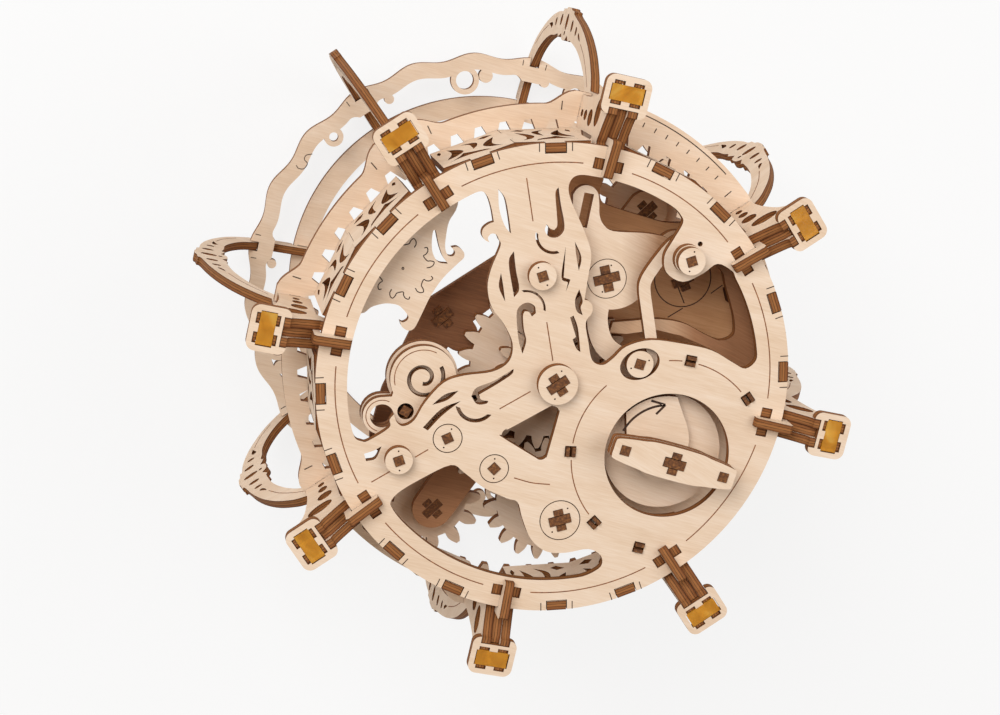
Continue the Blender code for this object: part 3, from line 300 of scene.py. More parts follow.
window_low = np.vstack([
    [(-34.2, -24.0), (-30.0, -26.8), (-24.2, -32.1), (-16.8, -36.3), (-13.4, -37.9), (-12.1, -43.2), (-9.5, -50.5),
     (-4.7, -55.0), (1.5, -56.0), (8.9, -55.4), (12.9, -57.9), (12.9, -61.6), (7.9, -64.2)],
    arc(MAIN, 64.8, -88, -142, 12),
    [(-53.2, -36.3), (-53.4, -34.2), (-50.5, -31.3), (-43.6, -27.7)],
])
window_small = np.vstack([
    arc((-15.6, -15.8), 2.2, 80, 190, 6), arc((-5.5, -22.4), 2.2, -140, -20, 6), arc((-1.5, -9.6), 2.2, -10, 110, 6),
])
window_right = np.vstack([
    [(6.8, 63.9), (9.5, 64.7)],
    arc(MAIN, 65.4, 78, 54, 6),
    [(40.5, 50.5), (41.2, 47.9), (37.9, 42.6), (35.2, 37.9), (35.8, 32.6), (41.0, 29.4), (47.4, 31.6), (52.1, 34.4),
     (56.8, 31.8)],
    arc(MAIN, 65.0, 27, 6, 5),
    [(64.5, 2.6), (61.0, 0.1), (56.8, 2.4), (50.0, 6.8), (41.0, 9.5), (30.6, 11.5), (22.6, 10.0), (18.4, 6.6), (15.0, 4.6),
     (11.6, 6.3), (10.5, 12.1), (9.8, 18.4), (11.7, 21.2), (12.1, 23.5), (11.0, 25.2), (9.6, 25.8), (9.9, 27.6),
     (10.8, 32.5), (12.0, 40.0), (10.0, 47.4), (6.3, 56.4), (5.4, 61.0)],
])
scroll_cuts = [
    [(-16.3, 61.8), (-16.2, 55.8), (-14.7, 50.5), (-12.8, 47.9), (-13.4, 53.7), (-14.3, 58.9)],
    [(2.3, 61.3), (1.3, 59.6), (1.5, 54.0), (1.6, 49.6), (0.6, 48.2), (-0.6, 48.7), (-1.7, 50.1), (-2.3, 48.2), (-1.0, 46.2),
     (1.5, 45.9), (3.5, 47.6), (3.8, 50.4), (2.9, 56.0)],
    [(4.1, 42.9), (3.2, 33.2), (5.3, 32.4), (3.8, 28.7), (4.5, 31.6), (2.5, 33.4)],
    [(-12.1, 42.4), (-13.8, 38.9), (-12.5, 28.0), (-10.8, 30.5), (-11.6, 36.3)],
    [(7.0, 44.2), (7.3, 39.8), (8.0, 35.0), (8.9, 39.2)],
    [(-16.3, 35.9), (-17.1, 31.6), (-15.3, 26.8), (-15.7, 31.4)],
    [(-10.4, 10.0), (-11.5, 14.5), (-11.9, 22.1), (-11.0, 24.9), (-8.4, 26.1), (-6.2, 24.9), (-5.8, 22.6), (-7.1, 21.6),
     (-8.0, 23.1), (-9.3, 23.4), (-9.9, 21.9), (-9.7, 17.5), (-9.1, 14.0)],
    [(8.0, 29.2), (6.6, 25.9), (7.0, 22.4), (8.9, 20.9), (8.3, 23.4), (9.0, 25.4)],
    [(6.0, 21.0), (4.9, 20.5), (6.6, 14.2), (5.5, 13.4), (6.6, 10.5), (7.9, 9.2), (7.3, 16.8)],
    [(-13.3, 5.4), (-19.5, 2.1), (-25.2, 0.2), (-26.9, -2.4), (-25.2, -5.0), (-22.3, -5.1), (-21.6, -4.3), (-23.9, -3.6),
     (-24.4, -2.0), (-18.7, 0.9), (-14.0, 3.7)],
    [(-39.2, -4.2), (-35.2, -1.2), (-30.8, -0.3), (-34.4, -3.0)],
    [(-42.4, -11.2), (-40.9, -12.3), (-36.2, -7.8), (-30.2, -3.6), (-36.4, -5.7)],
    [(-61.0, -18.2), (-60.5, -20.6), (-57.5, -20.0), (-55.5, -16.2), (-57.9, -17.4)],
]
crescents = [((0.5, 46.5), 5.8, 166, 286, 4.9, 280, 172), ((-9.0, 23.8), 6.3, 100, -8, 5.6, -4, 94),
             ((-25.5, -4.5), 6.4, 186, 318, 5.2, 310, 194)]
PIN_SPOTS = [(polar(31.4, a, CRANK), a) for a in (173, 75, 32, -108, -140)]
TAB_SIDE, SQUARE = 3.05, 3.6


def tab_holes(r):
    """Two holes under each arm for the tabs of its cheeks."""
    return [rect(polar(r, a) + turned([(0, s * TAB_SIDE)], MAIN, a)[0], 3.5, 3.3, a) for a in ARMS for s in (-1, 1)]


rear_loops = [rim, smooth(window_left), smooth(window_low), smooth(window_small), smooth(window_right)]
rear_loops += [smooth(c, 60) for c in scroll_cuts]
rear_loops += [np.vstack([arc(c, r0, a0, a1, 16), arc(c, r1, b0, b1, 16)]) for c, r0, a0, a1, r1, b0, b1 in crescents]
rear_loops += tab_holes(69.4)
rear_loops += [circle(CRANK, 20.3, 96), oval(ROCKER_END, 6.5, 4.9, 17, 48), circle(MAIN, 4.2), circle(IDLER_B, 6.6)]
rear_loops += [circle(IDLER_A, 4.7), circle(IDLER_C, 4.7)]
rear_loops += [rect(p, SQUARE, SQUARE, a) for p, a in [(p, 15) for p in POSTS] + PIN_SPOTS]
rear_loops.append(circle((46.6, 41.0), 0.8, 16))
wood("rear_plate_cut", "frame", ["rear_plate"], rear_loops, -PLY, 0.0)

# Lines that the laser only scores into a face: thin brown strokes, no deeper than a veneer, and darker ones where
# it lingers
scorch, tree, shader = start("laser_scored_line")
place = add(tree, "ShaderNodeTexCoord").outputs["Object"]
patchy = add(tree, "ShaderNodeTexNoise", {"Vector": place, "Scale": 700.0, "Detail": 2.0})
tree.links.new(ramp(tree, patchy.outputs["Fac"], [(0.3, "#6B3A1C"), (0.7, "#A0663A")]), shader.inputs["Base Color"])
shader.inputs["Roughness"].default_value = 0.8
burnt, tree, shader = start("laser_burnt_line")
place = add(tree, "ShaderNodeTexCoord").outputs["Object"]
patchy = add(tree, "ShaderNodeTexNoise", {"Vector": place, "Scale": 900.0, "Detail": 2.0})
tree.links.new(ramp(tree, patchy.outputs["Fac"], [(0.3, "#24150C"), (0.7, "#4C301C")]), shader.inputs["Base Color"])
shader.inputs["Roughness"].default_value = 0.8


def scored(name, body, lines, face, width=0.35, colour=scorch, seat=lying):
    """Strokes 0.03 mm proud of a face at the given height, as one mesh."""
    return wood(name, body, [], [strip(line, width) for line in lines], face - 0.03, face + 0.03, seat, (colour, colour))


def stroke(a, r0, r1, turn=0.0):
    """Short radial stroke at an angle."""
    return np.stack([polar(r0, a + turn), polar(r1, a + turn)])


rim_lines = [arc(MAIN, 69.0, a + 6.5, a + 38.5, 40) for a in ARMS]
notch_ticks = [turned([(72.3, s), (74.9, s)], MAIN, a) for a in notches for s in (-5.1, 5.1)]
straight = [[(-7.5, 64.7), (-5.9, 51.3)], [(-2.5, 19.5), (-0.9, 7.1)], [(-59.2, -27.5), (-53.2, -24.5)],
            [(-45.3, -20.6), (-41.0, -18.4)], [(-18.2, -7.1), (-8.2, -2.2)]]
crank_lines = [arc(CRANK, 31.0, a0, a1, 24) for a0, a1 in ((128, 168), (80, 88), (38, 70), (178, 214))]
link_line = flow([(-14.3, -29.8), (-8.6, -31.9), (-2.9, -32.9)])
scored("rear_plate_scores", "frame", rim_lines + straight + crank_lines + [link_line], 0.0)
scored("rear_plate_ticks", "frame", notch_ticks, 0.0, 0.3, burnt)

# Arms. Two cheeks stand on edge with a wedge between them; a rounded lantern frame lies on top and holds a
# pane of cast amber acrylic, gripped by the tab ends of the cheeks. All glued from 3 mm sheet.
resin, tree, shader = start("cast_amber_acrylic")
place = add(tree, "ShaderNodeTexCoord").outputs["Object"]
swirl = add(tree, "ShaderNodeTexNoise", {"Vector": place, "Scale": 160.0, "Detail": 2.0, "Distortion": 0.8})
amber = ramp(tree, swirl.outputs["Fac"], [(0.3, "#D08A22"), (0.55, "#E8A030"), (0.75, "#F4BC52")])
tree.links.new(amber, shader.inputs["Base Color"])
shader.inputs["Roughness"].default_value = 0.14
shader.inputs["IOR"].default_value = 1.49
shader.inputs["Transmission Weight"].default_value = 0.35
LENS_R, LANTERN_R, LENS_LOW, LENS_HIGH = 91.85, 91.1, -0.6, 2.4
MID_LOW, MID_HIGH = layer(10)
in0, in1, out0, out1 = LENS_R - 3.5, LENS_R - 2.65, LENS_R + 2.65, LENS_R + 3.5
TAB_HIGH = LENS_HIGH - 0.6
grip = LENS_LOW + 0.2
cheek = np.array(
    [(76.4, MID_HIGH + GAP), (76.4, -12.0), (73.0, -8.6), (66.4, -7.4), (66.4, -3.3), (67.8, -3.3), (67.8, -0.6), (71.0, -0.6),
     (71.0, -3.3), (75.0, -3.3), (75.6, -3.8), (80.4, -1.4), (84.2, 0.8), (85.1, LENS_HIGH - 0.2), (86.9, LENS_HIGH - 0.2),
     (86.9, grip), (in0, grip), (in0, TAB_HIGH), (in1, TAB_HIGH), (in1, LENS_LOW - GAP), (out0, LENS_LOW - GAP),
     (out0, TAB_HIGH), (out1, TAB_HIGH), (out1, grip),
     (96.1, grip), (96.1, -4.8), (93.5, -7.2), (90.2, -12.0), (88.4, -19.0), (87.2, -27.0), (87.0, MID_HIGH + GAP),
     (82.9, MID_HIGH + GAP), (82.9, MID_LOW), (79.9, MID_LOW), (79.9, MID_HIGH + GAP)])
cheek_loops = [smooth(cheek, 40), oval((83.9, -10.7), 4.6, 3.3, 12), oval((81.2, -19.6), 2.7, 2.9), oval((81.3, -26.6), 1.7, 2.1)]
cheek_loops += [smooth([(89.3, -4.2), (94.0, -3.2), (91.8, -5.9)], 100)]
cheek_loops += [oval((87.2, -3.9), 0.9, 1.3), oval((81.4, -31.8), 1.2, 1.6)]
wedge = [(65.7, GAP), (75.3, GAP), (75.3, -9.0), (77.6, -9.0), (77.6, 4.4), (76.8, 5.2), (66.2, 3.0), (65.7, 2.4)]
spacer = [(77.7, -16.5), (79.4, -16.5), (85.6, -9.0), (86.8, -5.0), (86.8, 0.6), (84.2, 0.2), (80.4, -1.9), (77.7, -3.3)]
u0, u1, v0, v1, v2 = 2.5, 3.7, 1.35, 4.75, 5.45
side = [(u0, -v2), (u0, -v1), (u1, -v1), (u1, -v0), (u0, -v0), (u0, v0), (u1, v0), (u1, v1), (u0, v1), (u0, v2)]
window = [(LENS_R + u, v) for u, v in side] + [(LENS_R - u, -v) for u, v in side]
rounds = [(3.3, 4.4, 2.8), (-3.7, 4.8, 2.4), (-3.7, -4.8, 2.4), (3.3, -4.4, 2.8)]
lantern = [arc((LANTERN_R + u, v), r, 90 * q, 90 * q + 90, 10) for q, (u, v, r) in enumerate(rounds)]
lantern = np.vstack(lantern[:2] + [[(LANTERN_R - 6.1, 4.7), (87.1, 4.7), (87.1, -4.7), (LANTERN_R - 6.1, -4.7)]] + lantern[2:])
for k, a in enumerate(ARMS):
    node = [f"lantern_arm_{k + 1}"]
    for s, part in ((1, "left"), (-1, "right")):
        middle = s * TAB_SIDE
        wood(f"cheek_{k + 1}_{part}", "frame", node, cheek_loops, middle - PLY / 2, middle + PLY / 2, upright(a))
    wood(f"wedge_{k + 1}", "frame", node, [wedge], -PLY / 2, PLY / 2, upright(a))
    wood(f"spacer_{k + 1}", "frame", node, [spacer], -PLY / 2, PLY / 2, upright(a))
    flat_on = [turned(loop, MAIN, a) for loop in (lantern, window)]
    wood(f"lantern_{k + 1}", "frame", node, flat_on, LENS_LOW, LENS_HIGH)
    pane = rect(polar(LENS_R, a), 5.0, 10.3, a)
    wood(f"pane_{k + 1}", "frame", [f"amber_lens_{k + 1}"], [pane], LENS_LOW, LENS_HIGH - 0.2, lying, (resin, resin),
         slot="amber_acrylic")

# Side panels, two to a bay, pierced with leaves. Their top tabs stand in the rim's notches and their
# fingers interlock along the corner between them, so dark sheet ends show there.
tab = 3.1
panel_cuts = [
    [(-9.4, -7.0), (-6.6, -9.6), (-2.0, -10.3), (3.0, -8.2), (4.6, -6.4), (3.4, -10.0), (-0.6, -13.6), (-3.2, -16.4),
     (-5.0, -12.6)],
    [(8.6, -7.6), (7.0, -11.4), (6.4, -16.6), (7.4, -22.0), (8.4, -26.6), (5.2, -22.6), (3.6, -17.2), (5.2, -11.6)],
    [(-8.8, -13.6), (-5.4, -15.4), (-2.6, -19.6), (-3.4, -25.0), (-6.6, -31.4), (-6.0, -26.0), (-6.4, -20.6)],
    [(0.4, -17.8), (2.2, -21.4), (2.8, -26.0), (1.6, -29.2), (-1.8, -32.0), (0.4, -27.6), (0.6, -22.6)],
    [(8.8, -31.0), (5.8, -29.2), (4.0, -31.6), (6.2, -33.4)], [(-9.6, -26.0), (-8.6, -29.2), (-9.2, -32.2), (-10.0, -29.4)],
]
heights = np.linspace(MID_HIGH + GAP, -3.3, 5)
bays = [a for a in ARMS if a != OPEN_BAY[0]]
for k, a in enumerate(bays):
    for s, part in ((1, "first"), (-1, "second")):
        reach = [12.15 if (j + s) % 4 in (1, 2) else 11.35 for j in (1, 2, 3, 4)]
        fingers = [(reach[j // 2], heights[(j + 1) // 2]) for j in range(8)]
        edge_line = [(-11.5, MID_HIGH + GAP)] + fingers + [(tab, -3.3), (tab, 0.0), (-tab, 0.0), (-tab, -3.3), (-11.5, -3.3)]
        loops = [np.array(edge_line)] + [smooth(c, 75) for c in panel_cuts]
        loops = [loop * (s, 1) for loop in loops]
        seat = facing(a + 22.5 + s * (PANEL_OFFSET - 22.5))
        wood(f"panel_{k + 1}_{part}", "frame", [f"bay_panel_{k + 1}"], loops, REAR_R - PLY, REAR_R, seat)

# Ring gear plate: a sheet of birch plywood with sixty inner teeth, slotted over the arches and tabbed into the
# cheeks. It has a forked lobe under each arm and a wider dial with plain ticks in one bay.
MID_R, LOBE_R = 83.0, 87.7


def ring_teeth(count, module, phase, addendum=0.85, dedendum=1.25):
    """Internal gear outline: straight flanks pointing inwards."""
    step, pitch = 360 / count, count * module / 2
    root, tip = pitch + dedendum * module, pitch - addendum * module
    at = np.array([-0.36, -0.36 + 0.01, -0.115, 0.115, 0.36 - 0.01, 0.36]) * step
    radii = np.array([root, root - 0.25, tip, tip, root - 0.25, root])
    angles = phase + np.arange(count)[:, None] * step + at
    return polar(np.broadcast_to(radii, angles.shape).ravel(), angles.ravel())


ring_edge = []
for a in ARMS:
    ring_edge.append(turned([(LOBE_R, -7.0), (LOBE_R, -1.8), (84.4, -1.8), (84.4, 1.8), (LOBE_R, 1.8), (LOBE_R, 7.0)], MAIN, a))
    if a == 30:
        ring_edge.append(arc(MAIN, LOBE_R + 0.2, a + 7, a + 38, 40))
    else:
        t = np.linspace(5.2, 39.8, 60)
        dip = np.clip((np.minimum(t, 45 - t) - 4.8) / 6.2, 0, 1)
        ring_edge.append(polar(LOBE_R - (LOBE_R - MID_R) * (3 * dip ** 2 - 2 * dip ** 3), a + t))
ring_loops = [np.vstack(ring_edge), ring_teeth(60, 2.5, 3.0)]
ring_loops += tab_holes(81.4)
wood("ring_gear_plate_cut", "frame", ["ring_gear_plate"], ring_loops, MID_LOW, MID_HIGH)
dial = [stroke(t, 82.6, 85.6 if t % 3 else 84.2) for t in range(42, 67, 3)] + [arc(MAIN, 86.4, 41, 67, 40)]
dial += [stroke(a, 81.3, 84.2, s) for a in ARMS for s in (-7.3, 7.3)]
scored("ring_gear_plate_scores", "frame", dial, MID_HIGH, 0.35, burnt)

# Arches: curved legs of birch plywood on edge between the ring gear plate and the front ring, pierced with ovals
# at the bend and scored down the middle of each limb
FRONT_Z, WAVE_Z = -158.6, -147.0
arch_loops = [smooth([
    (88.2, -40.5), (91.2, -43.1), (94.0, -46.5), (99.2, -55.0), (103.8, -66.0), (107.3, -78.0), (110.0, -91.0), (111.0, -92.0),
    (111.4, -96.5), (112.0, -98.0), (112.0, -104.0), (111.4, -105.5), (111.2, -110.0), (110.2, -111.0), (109.6, -118.0),
    (107.4, -128.0), (103.6, -138.0), (98.2, -147.5), (91.0, -154.5), (82.5, -159.2), (76.0, FRONT_Z - 2.7), (73.4, FRONT_Z - 2.7),
    (73.4, FRONT_Z + GAP), (71.2, FRONT_Z + GAP), (71.2, FRONT_Z - 2.7), (67.2, FRONT_Z - 2.7), (67.2, FRONT_Z + GAP),
    (66.0, FRONT_Z + GAP), (66.0, FRONT_Z + 3.4), (72.5, -153.9), (80.5, -152.2), (83.3, WAVE_Z - 3.3), (87.3, WAVE_Z - 3.3),
    (87.3, -147.6), (93.4, -141.5), (97.8, -133.5), (100.6, -124.5), (101.2, -117.0), (102.0, -112.5), (101.0, -110.5),
    (102.6, -106.0), (100.6, -103.5), (100.6, -98.5), (102.4, -96.0), (100.6, -92.0), (101.0, -89.5), (99.3, -77.0),
    (95.8, -65.0), (91.2, -54.5), (86.2, -47.2), (84.7, MID_LOW - GAP), (84.7, MID_HIGH + GAP), (79.0, MID_HIGH + GAP),
    (79.0, -29.0), (80.4, -26.4), (88.2, -26.4)], 42)]
ovals = [(107.0, -100.8, 2.9, 1.75, 4), (106.1, -91.0, 2.1, 1.5, -4), (107.2, -110.6, 2.1, 1.5, 10),
         (104.8, -82.9, 1.6, 1.2, -12), (106.0, -119.0, 1.5, 1.2, 14), (102.9, -100.9, 0.8, 0.9, 0)]
arch_loops += [oval((r, z), ru, rz, turn, 32) for r, z, ru, rz, turn in ovals]
arch_loops += [smooth(c, 100) for c in ([(103.9, -78.6), (102.6, -76.6), (101.8, -73.0), (103.2, -75.2), (104.6, -77.6)],
                                        [(104.6, -123.4), (105.3, -125.6), (104.5, -130.0), (103.9, -127.2), (103.2, -124.6)])]
limbs = [flow([(101.2, -71.0), (97.6, -61.5), (93.0, -53.0), (88.9, -47.0)]),
         flow([(103.7, -131.0), (100.6, -139.5), (95.6, -147.6)])]
for k, a in enumerate(ARMS):
    wood(f"arch_cut_{k + 1}", "frame", [f"arch_{k + 1}"], arch_loops, -PLY / 2, PLY / 2, upright(a))
    scored(f"arch_scores_{k + 1}_left", "frame", limbs, PLY / 2, 0.3, scorch, upright(a))
    scored(f"arch_scores_{k + 1}_right", "frame", limbs, -PLY / 2, 0.3, scorch, upright(a))

# Wavy ring: one sheet of birch plywood, three waves to a bay, with bubbles along its inner edge. It is slotted
# over the arches and glued.
def inside(points, loop):
    """Which points lie in a loop, by counting the sides to their right."""
    a, b, x, y = loop, np.roll(loop, -1, 0), points[:, 0, None], points[:, 1, None]
    rise = np.where(a[:, 1] == b[:, 1], 1e-9, b[:, 1] - a[:, 1])
    hit = ((a[:, 1] > y) != (b[:, 1] > y)) & (x < a[:, 0] + (y - a[:, 1]) * (b[:, 0] - a[:, 0]) / rise)
    return hit.sum(1) % 2 == 1


def joined(outlines, opening=None):
    """Boundary loops of overlapping outlines from their constrained triangulation. The opening cuts the first one only."""
    loops = [np.asarray(loop, float) for loop in outlines] + ([opening] if opening is not None else [])
    starts = np.cumsum([0] + [len(loop) for loop in loops])
    edges = [(n + j, n + (j + 1) % len(loop)) for n, loop in zip(starts, loops) for j in range(len(loop))]
    verts, _, faces, *_ = delaunay_2d_cdt([Vector(p) for p in np.vstack(loops)], edges, [], 1, 1e-5)
    verts, faces = np.array(verts), np.array(faces)
    mid = verts[faces].mean(1)
    kept = inside(mid, loops[0])
    if opening is not None:
        kept &= ~inside(mid, opening)
    for loop in loops[1:len(outlines)]:
        kept |= inside(mid, loop)
    sides = {(a, b) for f in faces[kept] for a, b in zip(f, np.roll(f, -1))}
    follow = {}
    for a, b in sorted(sides):
        if (b, a) not in sides:
            follow.setdefault(a, []).append(b)
    found = []
    while follow:
        first = here = next(iter(follow))
        chain = []
        while not chain or here != first:
            chain.append(here)
            onward = follow[here].pop()
            if not follow[here]:
                del follow[here]
            here = onward
        if len(chain) > 8:
            found.append(verts[chain])
    return sorted(found, key=lambda loop: -np.ptp(loop[:, 0]))


WAVE_R, SLOT_R = 89.3, 87.0
bubbles = [
    [(32.6, 82.1, 4.4, 2.6), (41.4, 82.4, 1.8, 0)],
    [(12.1, 81.9, 2.6, 0), (17.7, 80.6, 5.3, 3.4), (38.4, 81.6, 1.8, 0)],
    [(10.9, 82.0, 3.6, 1.7)],
    [(3.8, 80.9, 1.7, 0), (26.6, 80.6, 5.3, 3.4), (32.2, 81.9, 2.6, 0)],
]
t = np.linspace(2.4, 42.6, 70)
wave_out = np.vstack([np.vstack([turned([(WAVE_R + 0.9, -1.8), (SLOT_R, -1.8), (SLOT_R, 1.8), (WAVE_R + 0.9, 1.8)], MAIN, a),
                                 polar(WAVE_R + 1.05 * np.cos(np.radians(24 * t)), a + t)]) for a in ARMS])
lip = np.clip((np.minimum(t, 45 - t) - 2.4) / 2.6, 0, 1)
wave_in = np.vstack([polar(83.4 + 0.9 * np.cos(np.radians(24 * t)) - 2.6 * (1 - lip) ** 2, a + t) for a in ARMS])
spots = [(polar(r, a + at), big, bore) for k, a in enumerate(ARMS) for at, r, big, bore in bubbles[k % 4]]
wave_loops = joined([wave_out] + [circle(c, big, 40) for c, big, _ in spots], wave_in)
wave_loops += [circle(c, bore, 36) for c, _, bore in spots if bore]
wood("wavy_ring_cut", "frame", ["wavy_ring"], wave_loops, WAVE_Z - PLY, WAVE_Z)
flourish = flow([(-62.0, 56.1), (-64.3, 55.7), (-65.0, 54.2), (-64.0, 52.6), (-65.4, 50.8), (-67.3, 51.0), (-68.2, 52.2)], 8)
slot_ticks = [stroke(a, 86.9, 89.0, s) for a in ARMS for s in (-2.9, 2.9)]
scored("wavy_ring_scores", "frame", slot_ticks + [flourish], WAVE_Z, 0.3, burnt)

# Front ring: the flat foot of the whole, a plain ring of birch plywood. The arches' feet are glued into its
# slots.
front_loops = [circle(MAIN, 73.0, 240), circle(MAIN, 65.6, 220)] + [rect(polar(69.2, a), 4.6, 3.6, a) for a in ARMS]
wood("front_ring_cut", "frame", ["front_ring"], front_loops, FRONT_Z - PLY, FRONT_Z)

# Bridge plate: the links that carry the inner ends of the axles, birch plywood with painted shade, darkest on the left.
# Its posts pass up through the rear plate and end under glued washers with two pin pricks.
# Carries the painted shade on the bridge, guard and rear carrier bar, and the darker rim side of the click lever
def tone_along_x(name, left, right, x0, x1):
    """Birch face whose tone goes from left to right between two places along X, in metres."""
    made, tree, shader = start(name)
    place = add(tree, "ShaderNodeAttribute", attribute_name="sheet").outputs["Vector"]
    way = add(tree, "ShaderNodeSeparateXYZ", {"Vector": add(tree, "ShaderNodeTexCoord").outputs["Object"]})
    fade = add(tree, "ShaderNodeMapRange", {"Value": way.outputs["X"], "From Min": x0, "From Max": x1})
    tones = {6: ply_face(tree, place, left)[0], 7: ply_face(tree, place, right)[0]}
    stain = add(tree, "ShaderNodeMix", {0: fade.outputs[0], **tones}, data_type="RGBA")
    tree.links.new(stain.outputs[2], shader.inputs["Base Color"])
    shader.inputs["Roughness"].default_value = 0.7
    return made


# Painted shade on the bridge: dark brown on the left and a warm, lighter brown to the right, in place of the shade it
# lies in
bridge_shade_face = tone_along_x("birch_face_painted_shade", ("#6A4227", "#835433", "#946340"), ("#C48C5E", "#D39C6C", "#DEAA7C"), -0.004, 0.006)
end, tree, shader = start("laser_charred_end_grain")
place = add(tree, "ShaderNodeTexCoord").outputs["Object"]
grains = add(tree, "ShaderNodeTexNoise", {"Vector": place, "Scale": 1400.0, "Detail": 3.0})
char = ramp(tree, grains.outputs["Fac"], [(0.3, "#4A2A14"), (0.55, "#744620"), (0.75, "#9A6634")])
tree.links.new(char, shader.inputs["Base Color"])
shader.inputs["Roughness"].default_value = 0.75


def capsule(p, q, r0, r1, n=16):
    """Link with round ends of radius r0 about p and r1 about q."""
    dx, dy = q[0] - p[0], q[1] - p[1]
    a = math.degrees(math.atan2(dy, dx))
    lean = math.degrees(math.asin((r0 - r1) / math.hypot(dx, dy)))
    return np.vstack([arc(p, r0, a + 90 - lean, a + 270 + lean, n), arc(q, r1, a - 90 + lean, a + 90 - lean, n)])


def cross(c, grow=0.0, turn=0.0, across=7.0):
    """Outline of an axle of two notched strips."""
    s, t = across / 2 + grow, 1.5 + grow
    half = [(s, -t), (s, t), (t, t), (t, s), (-t, s), (-t, t)]
    return turned(half + [(-u, -v) for u, v in half], c, turn)


def post(name, body, nodes, c, low, high, turn, kind="square", across=7.0):
    """Axle or post cut from sheet: one square strip, or two strips notched into each other with a hairline joint."""
    loops = [rect(c, 3.0, 3.0, turn)]
    if kind == "cross":
        arm = across / 2 - 1.65
        stubs = [rect(c + turned([(0, s * (1.65 + arm / 2))], (0, 0), turn)[0], 3.0, arm, turn) for s in (-1, 1)]
        loops = [rect(c, across, 2.84, turn)] + stubs
    return wood(name, body, nodes, loops, low, high, lying, (end, edge), slot="charred_plywood")


def washer(name, body, nodes, c, r, low, turn, kind="square", pricks=45.0, finish=None, across=7.0):
    """Glued disc with a bore for its post and two pin pricks."""
    bore = cross(c, 0.08, turn, across) if kind == "cross" else rect(c, 3.16, 3.16, turn)
    dots = [circle(polar(r * 0.72, turn + pricks + h, c), 0.28, 10) for h in (0, 180)]
    return wood(name, body, nodes, [circle(c, r, 72), bore] + dots, low, low + 3.0, lying, finish)


BRIDGE_LOW, BRIDGE_HIGH = layer(7)
CROSS_STUB, SQUARE_STUB = (-31.4, 17.6), (-25.8, 11.4)
links = [
    (POSTS[2], SCROLL, 6.0, 5.0), (SCROLL, CROSS_STUB, 5.0, 7.2), (CROSS_STUB, POSTS[0], 7.2, 6.0),
    (CROSS_STUB, SQUARE_STUB, 7.2, 5.6), (POSTS[0], ROCKER, 6.0, 7.4), (ROCKER, POSTS[1], 7.4, 6.0),
    (POSTS[2], IDLER_A, 6.0, 5.6), (IDLER_A, MAIN, 5.6, 9.0), (MAIN, CRANK, 9.0, 8.6), (MAIN, POSTS[0], 9.0, 6.0),
    (IDLER_A, IDLER_C, 5.6, 5.4), (IDLER_C, IDLER_B, 5.4, 8.4), (IDLER_B, CRANK, 8.4, 8.6),
]
side_edge = [(50.0, 43.2), (42.0, 43.8), (34.7, 46.2), (26.0, 49.4), (21.6, 51.6), (20.8, 55.4), (22.0, 60.0), (17.0, 64.0),
             (9.0, 65.6), (4.6, 63.0), (4.6, 54.0), (4.4, 46.0), (4.0, 34.0), (12.0, 20.0), (8.0, 6.0), (24.0, -8.0),
             (44.0, -12.0), (56.0, -13.0)]
bridge_side = np.vstack([arc(MAIN, 69.5, -14, 37, 40), flow(side_edge, 8)])
bridge_loops = joined([bridge_side] + [capsule(*link) for link in links])
bridge_loops += [circle(c, 4.2, 40) for c in (MAIN, CRANK, IDLER_B)] + [circle(c, 2.6, 32) for c in (IDLER_A, IDLER_C)]
here = ["bridge_plate"]
PROUD = PLY + 2 * GAP
wood("bridge_cut", "frame", here, bridge_loops, BRIDGE_LOW, BRIDGE_HIGH, lying, (bridge_shade_face, edge), slot="charred_plywood")
for k, p in enumerate(POSTS):
    rise = PLY + GAP if k == 1 else 0.0
    post(f"post_{k + 1}", "frame", here, p, BRIDGE_HIGH, PROUD + rise, 15)
    washer(f"post_washer_{k + 1}", "frame", here, p, 4.3, GAP + rise, 15, pricks=(100, 60, 75)[k])
washer("tall_post_base", "frame", here, POSTS[1], 4.6, GAP, 15)
WIDE = 8.3
post("scroll_post", "frame", here, SCROLL, BRIDGE_HIGH, -PLY, -35)
post("rocker_post", "frame", here, ROCKER, BRIDGE_HIGH, layer(0)[0], 10, "cross", WIDE)
washer("rocker_disc", "frame", here, ROCKER, 6.1, layer(1)[0], 10, "cross", 60.0, across=WIDE)
SIDE_STUB = (47.6, 24.4)
for name, p, turn in (("bridge_stub", CROSS_STUB, 35), ("side_stub", SIDE_STUB, 20)):
    post(name, "frame", here, p, BRIDGE_HIGH, BRIDGE_HIGH + 0.8, turn, "cross")
side_lines = [arc((47.7, 25.0), 9.4, 0, 360, 60), [(46.0, 22.4), (48.1, 16.7)], [(42.5, 12.4), (47.6, 15.1)],
              [(57.1, 19.4), (61.0, 21.9)]]
scored("bridge_scores", "frame", side_lines, BRIDGE_HIGH, 0.35, burnt)

# Guard in the right window: a hook shaped sheet of birch plywood round the side of the drum gear, painted shade
# darkening it towards the rim, on two blocks glued to the bridge
guard = np.vstack([
    [(20.2, 11.8), (25.6, 10.9), (35.4, 11.6), (43.5, 9.1), (53.9, 3.8), (60.5, -2.4), (66.4, -6.6)],
    arc(MAIN, 69.5, -3, 38, 30), arc(POSTS[1], 6.5, 70, 250, 24),
    flow([(45.6, 30.4), (51.0, 32.6), (55.1, 31.2), (57.6, 28.6), (58.3, 25.0), (60.2, 18.1), (61.3, 12.5), (60.8, 8.0),
          (56.6, 6.6), (51.7, 8.8), (44.1, 13.2), (35.4, 15.1), (27.8, 15.1)], 6),
    [(21.3, 15.0)],
])
guard_loops = [guard, rect(POSTS[1], 3.24, 3.24, 15)]
BLOCK = 4.4
# Painted shade on the guard: pale birch on the left, brown towards the rim
shaded = tone_along_x("guard_face_painted_shade", ("#C9A17D", "#D6AE8A", "#DFBA97"), ("#8F6240", "#9C6C49", "#A97853"), 0.036, 0.048)
wood("guard_cut", "frame", here, guard_loops, *layer(3), finish=(shaded, edge))
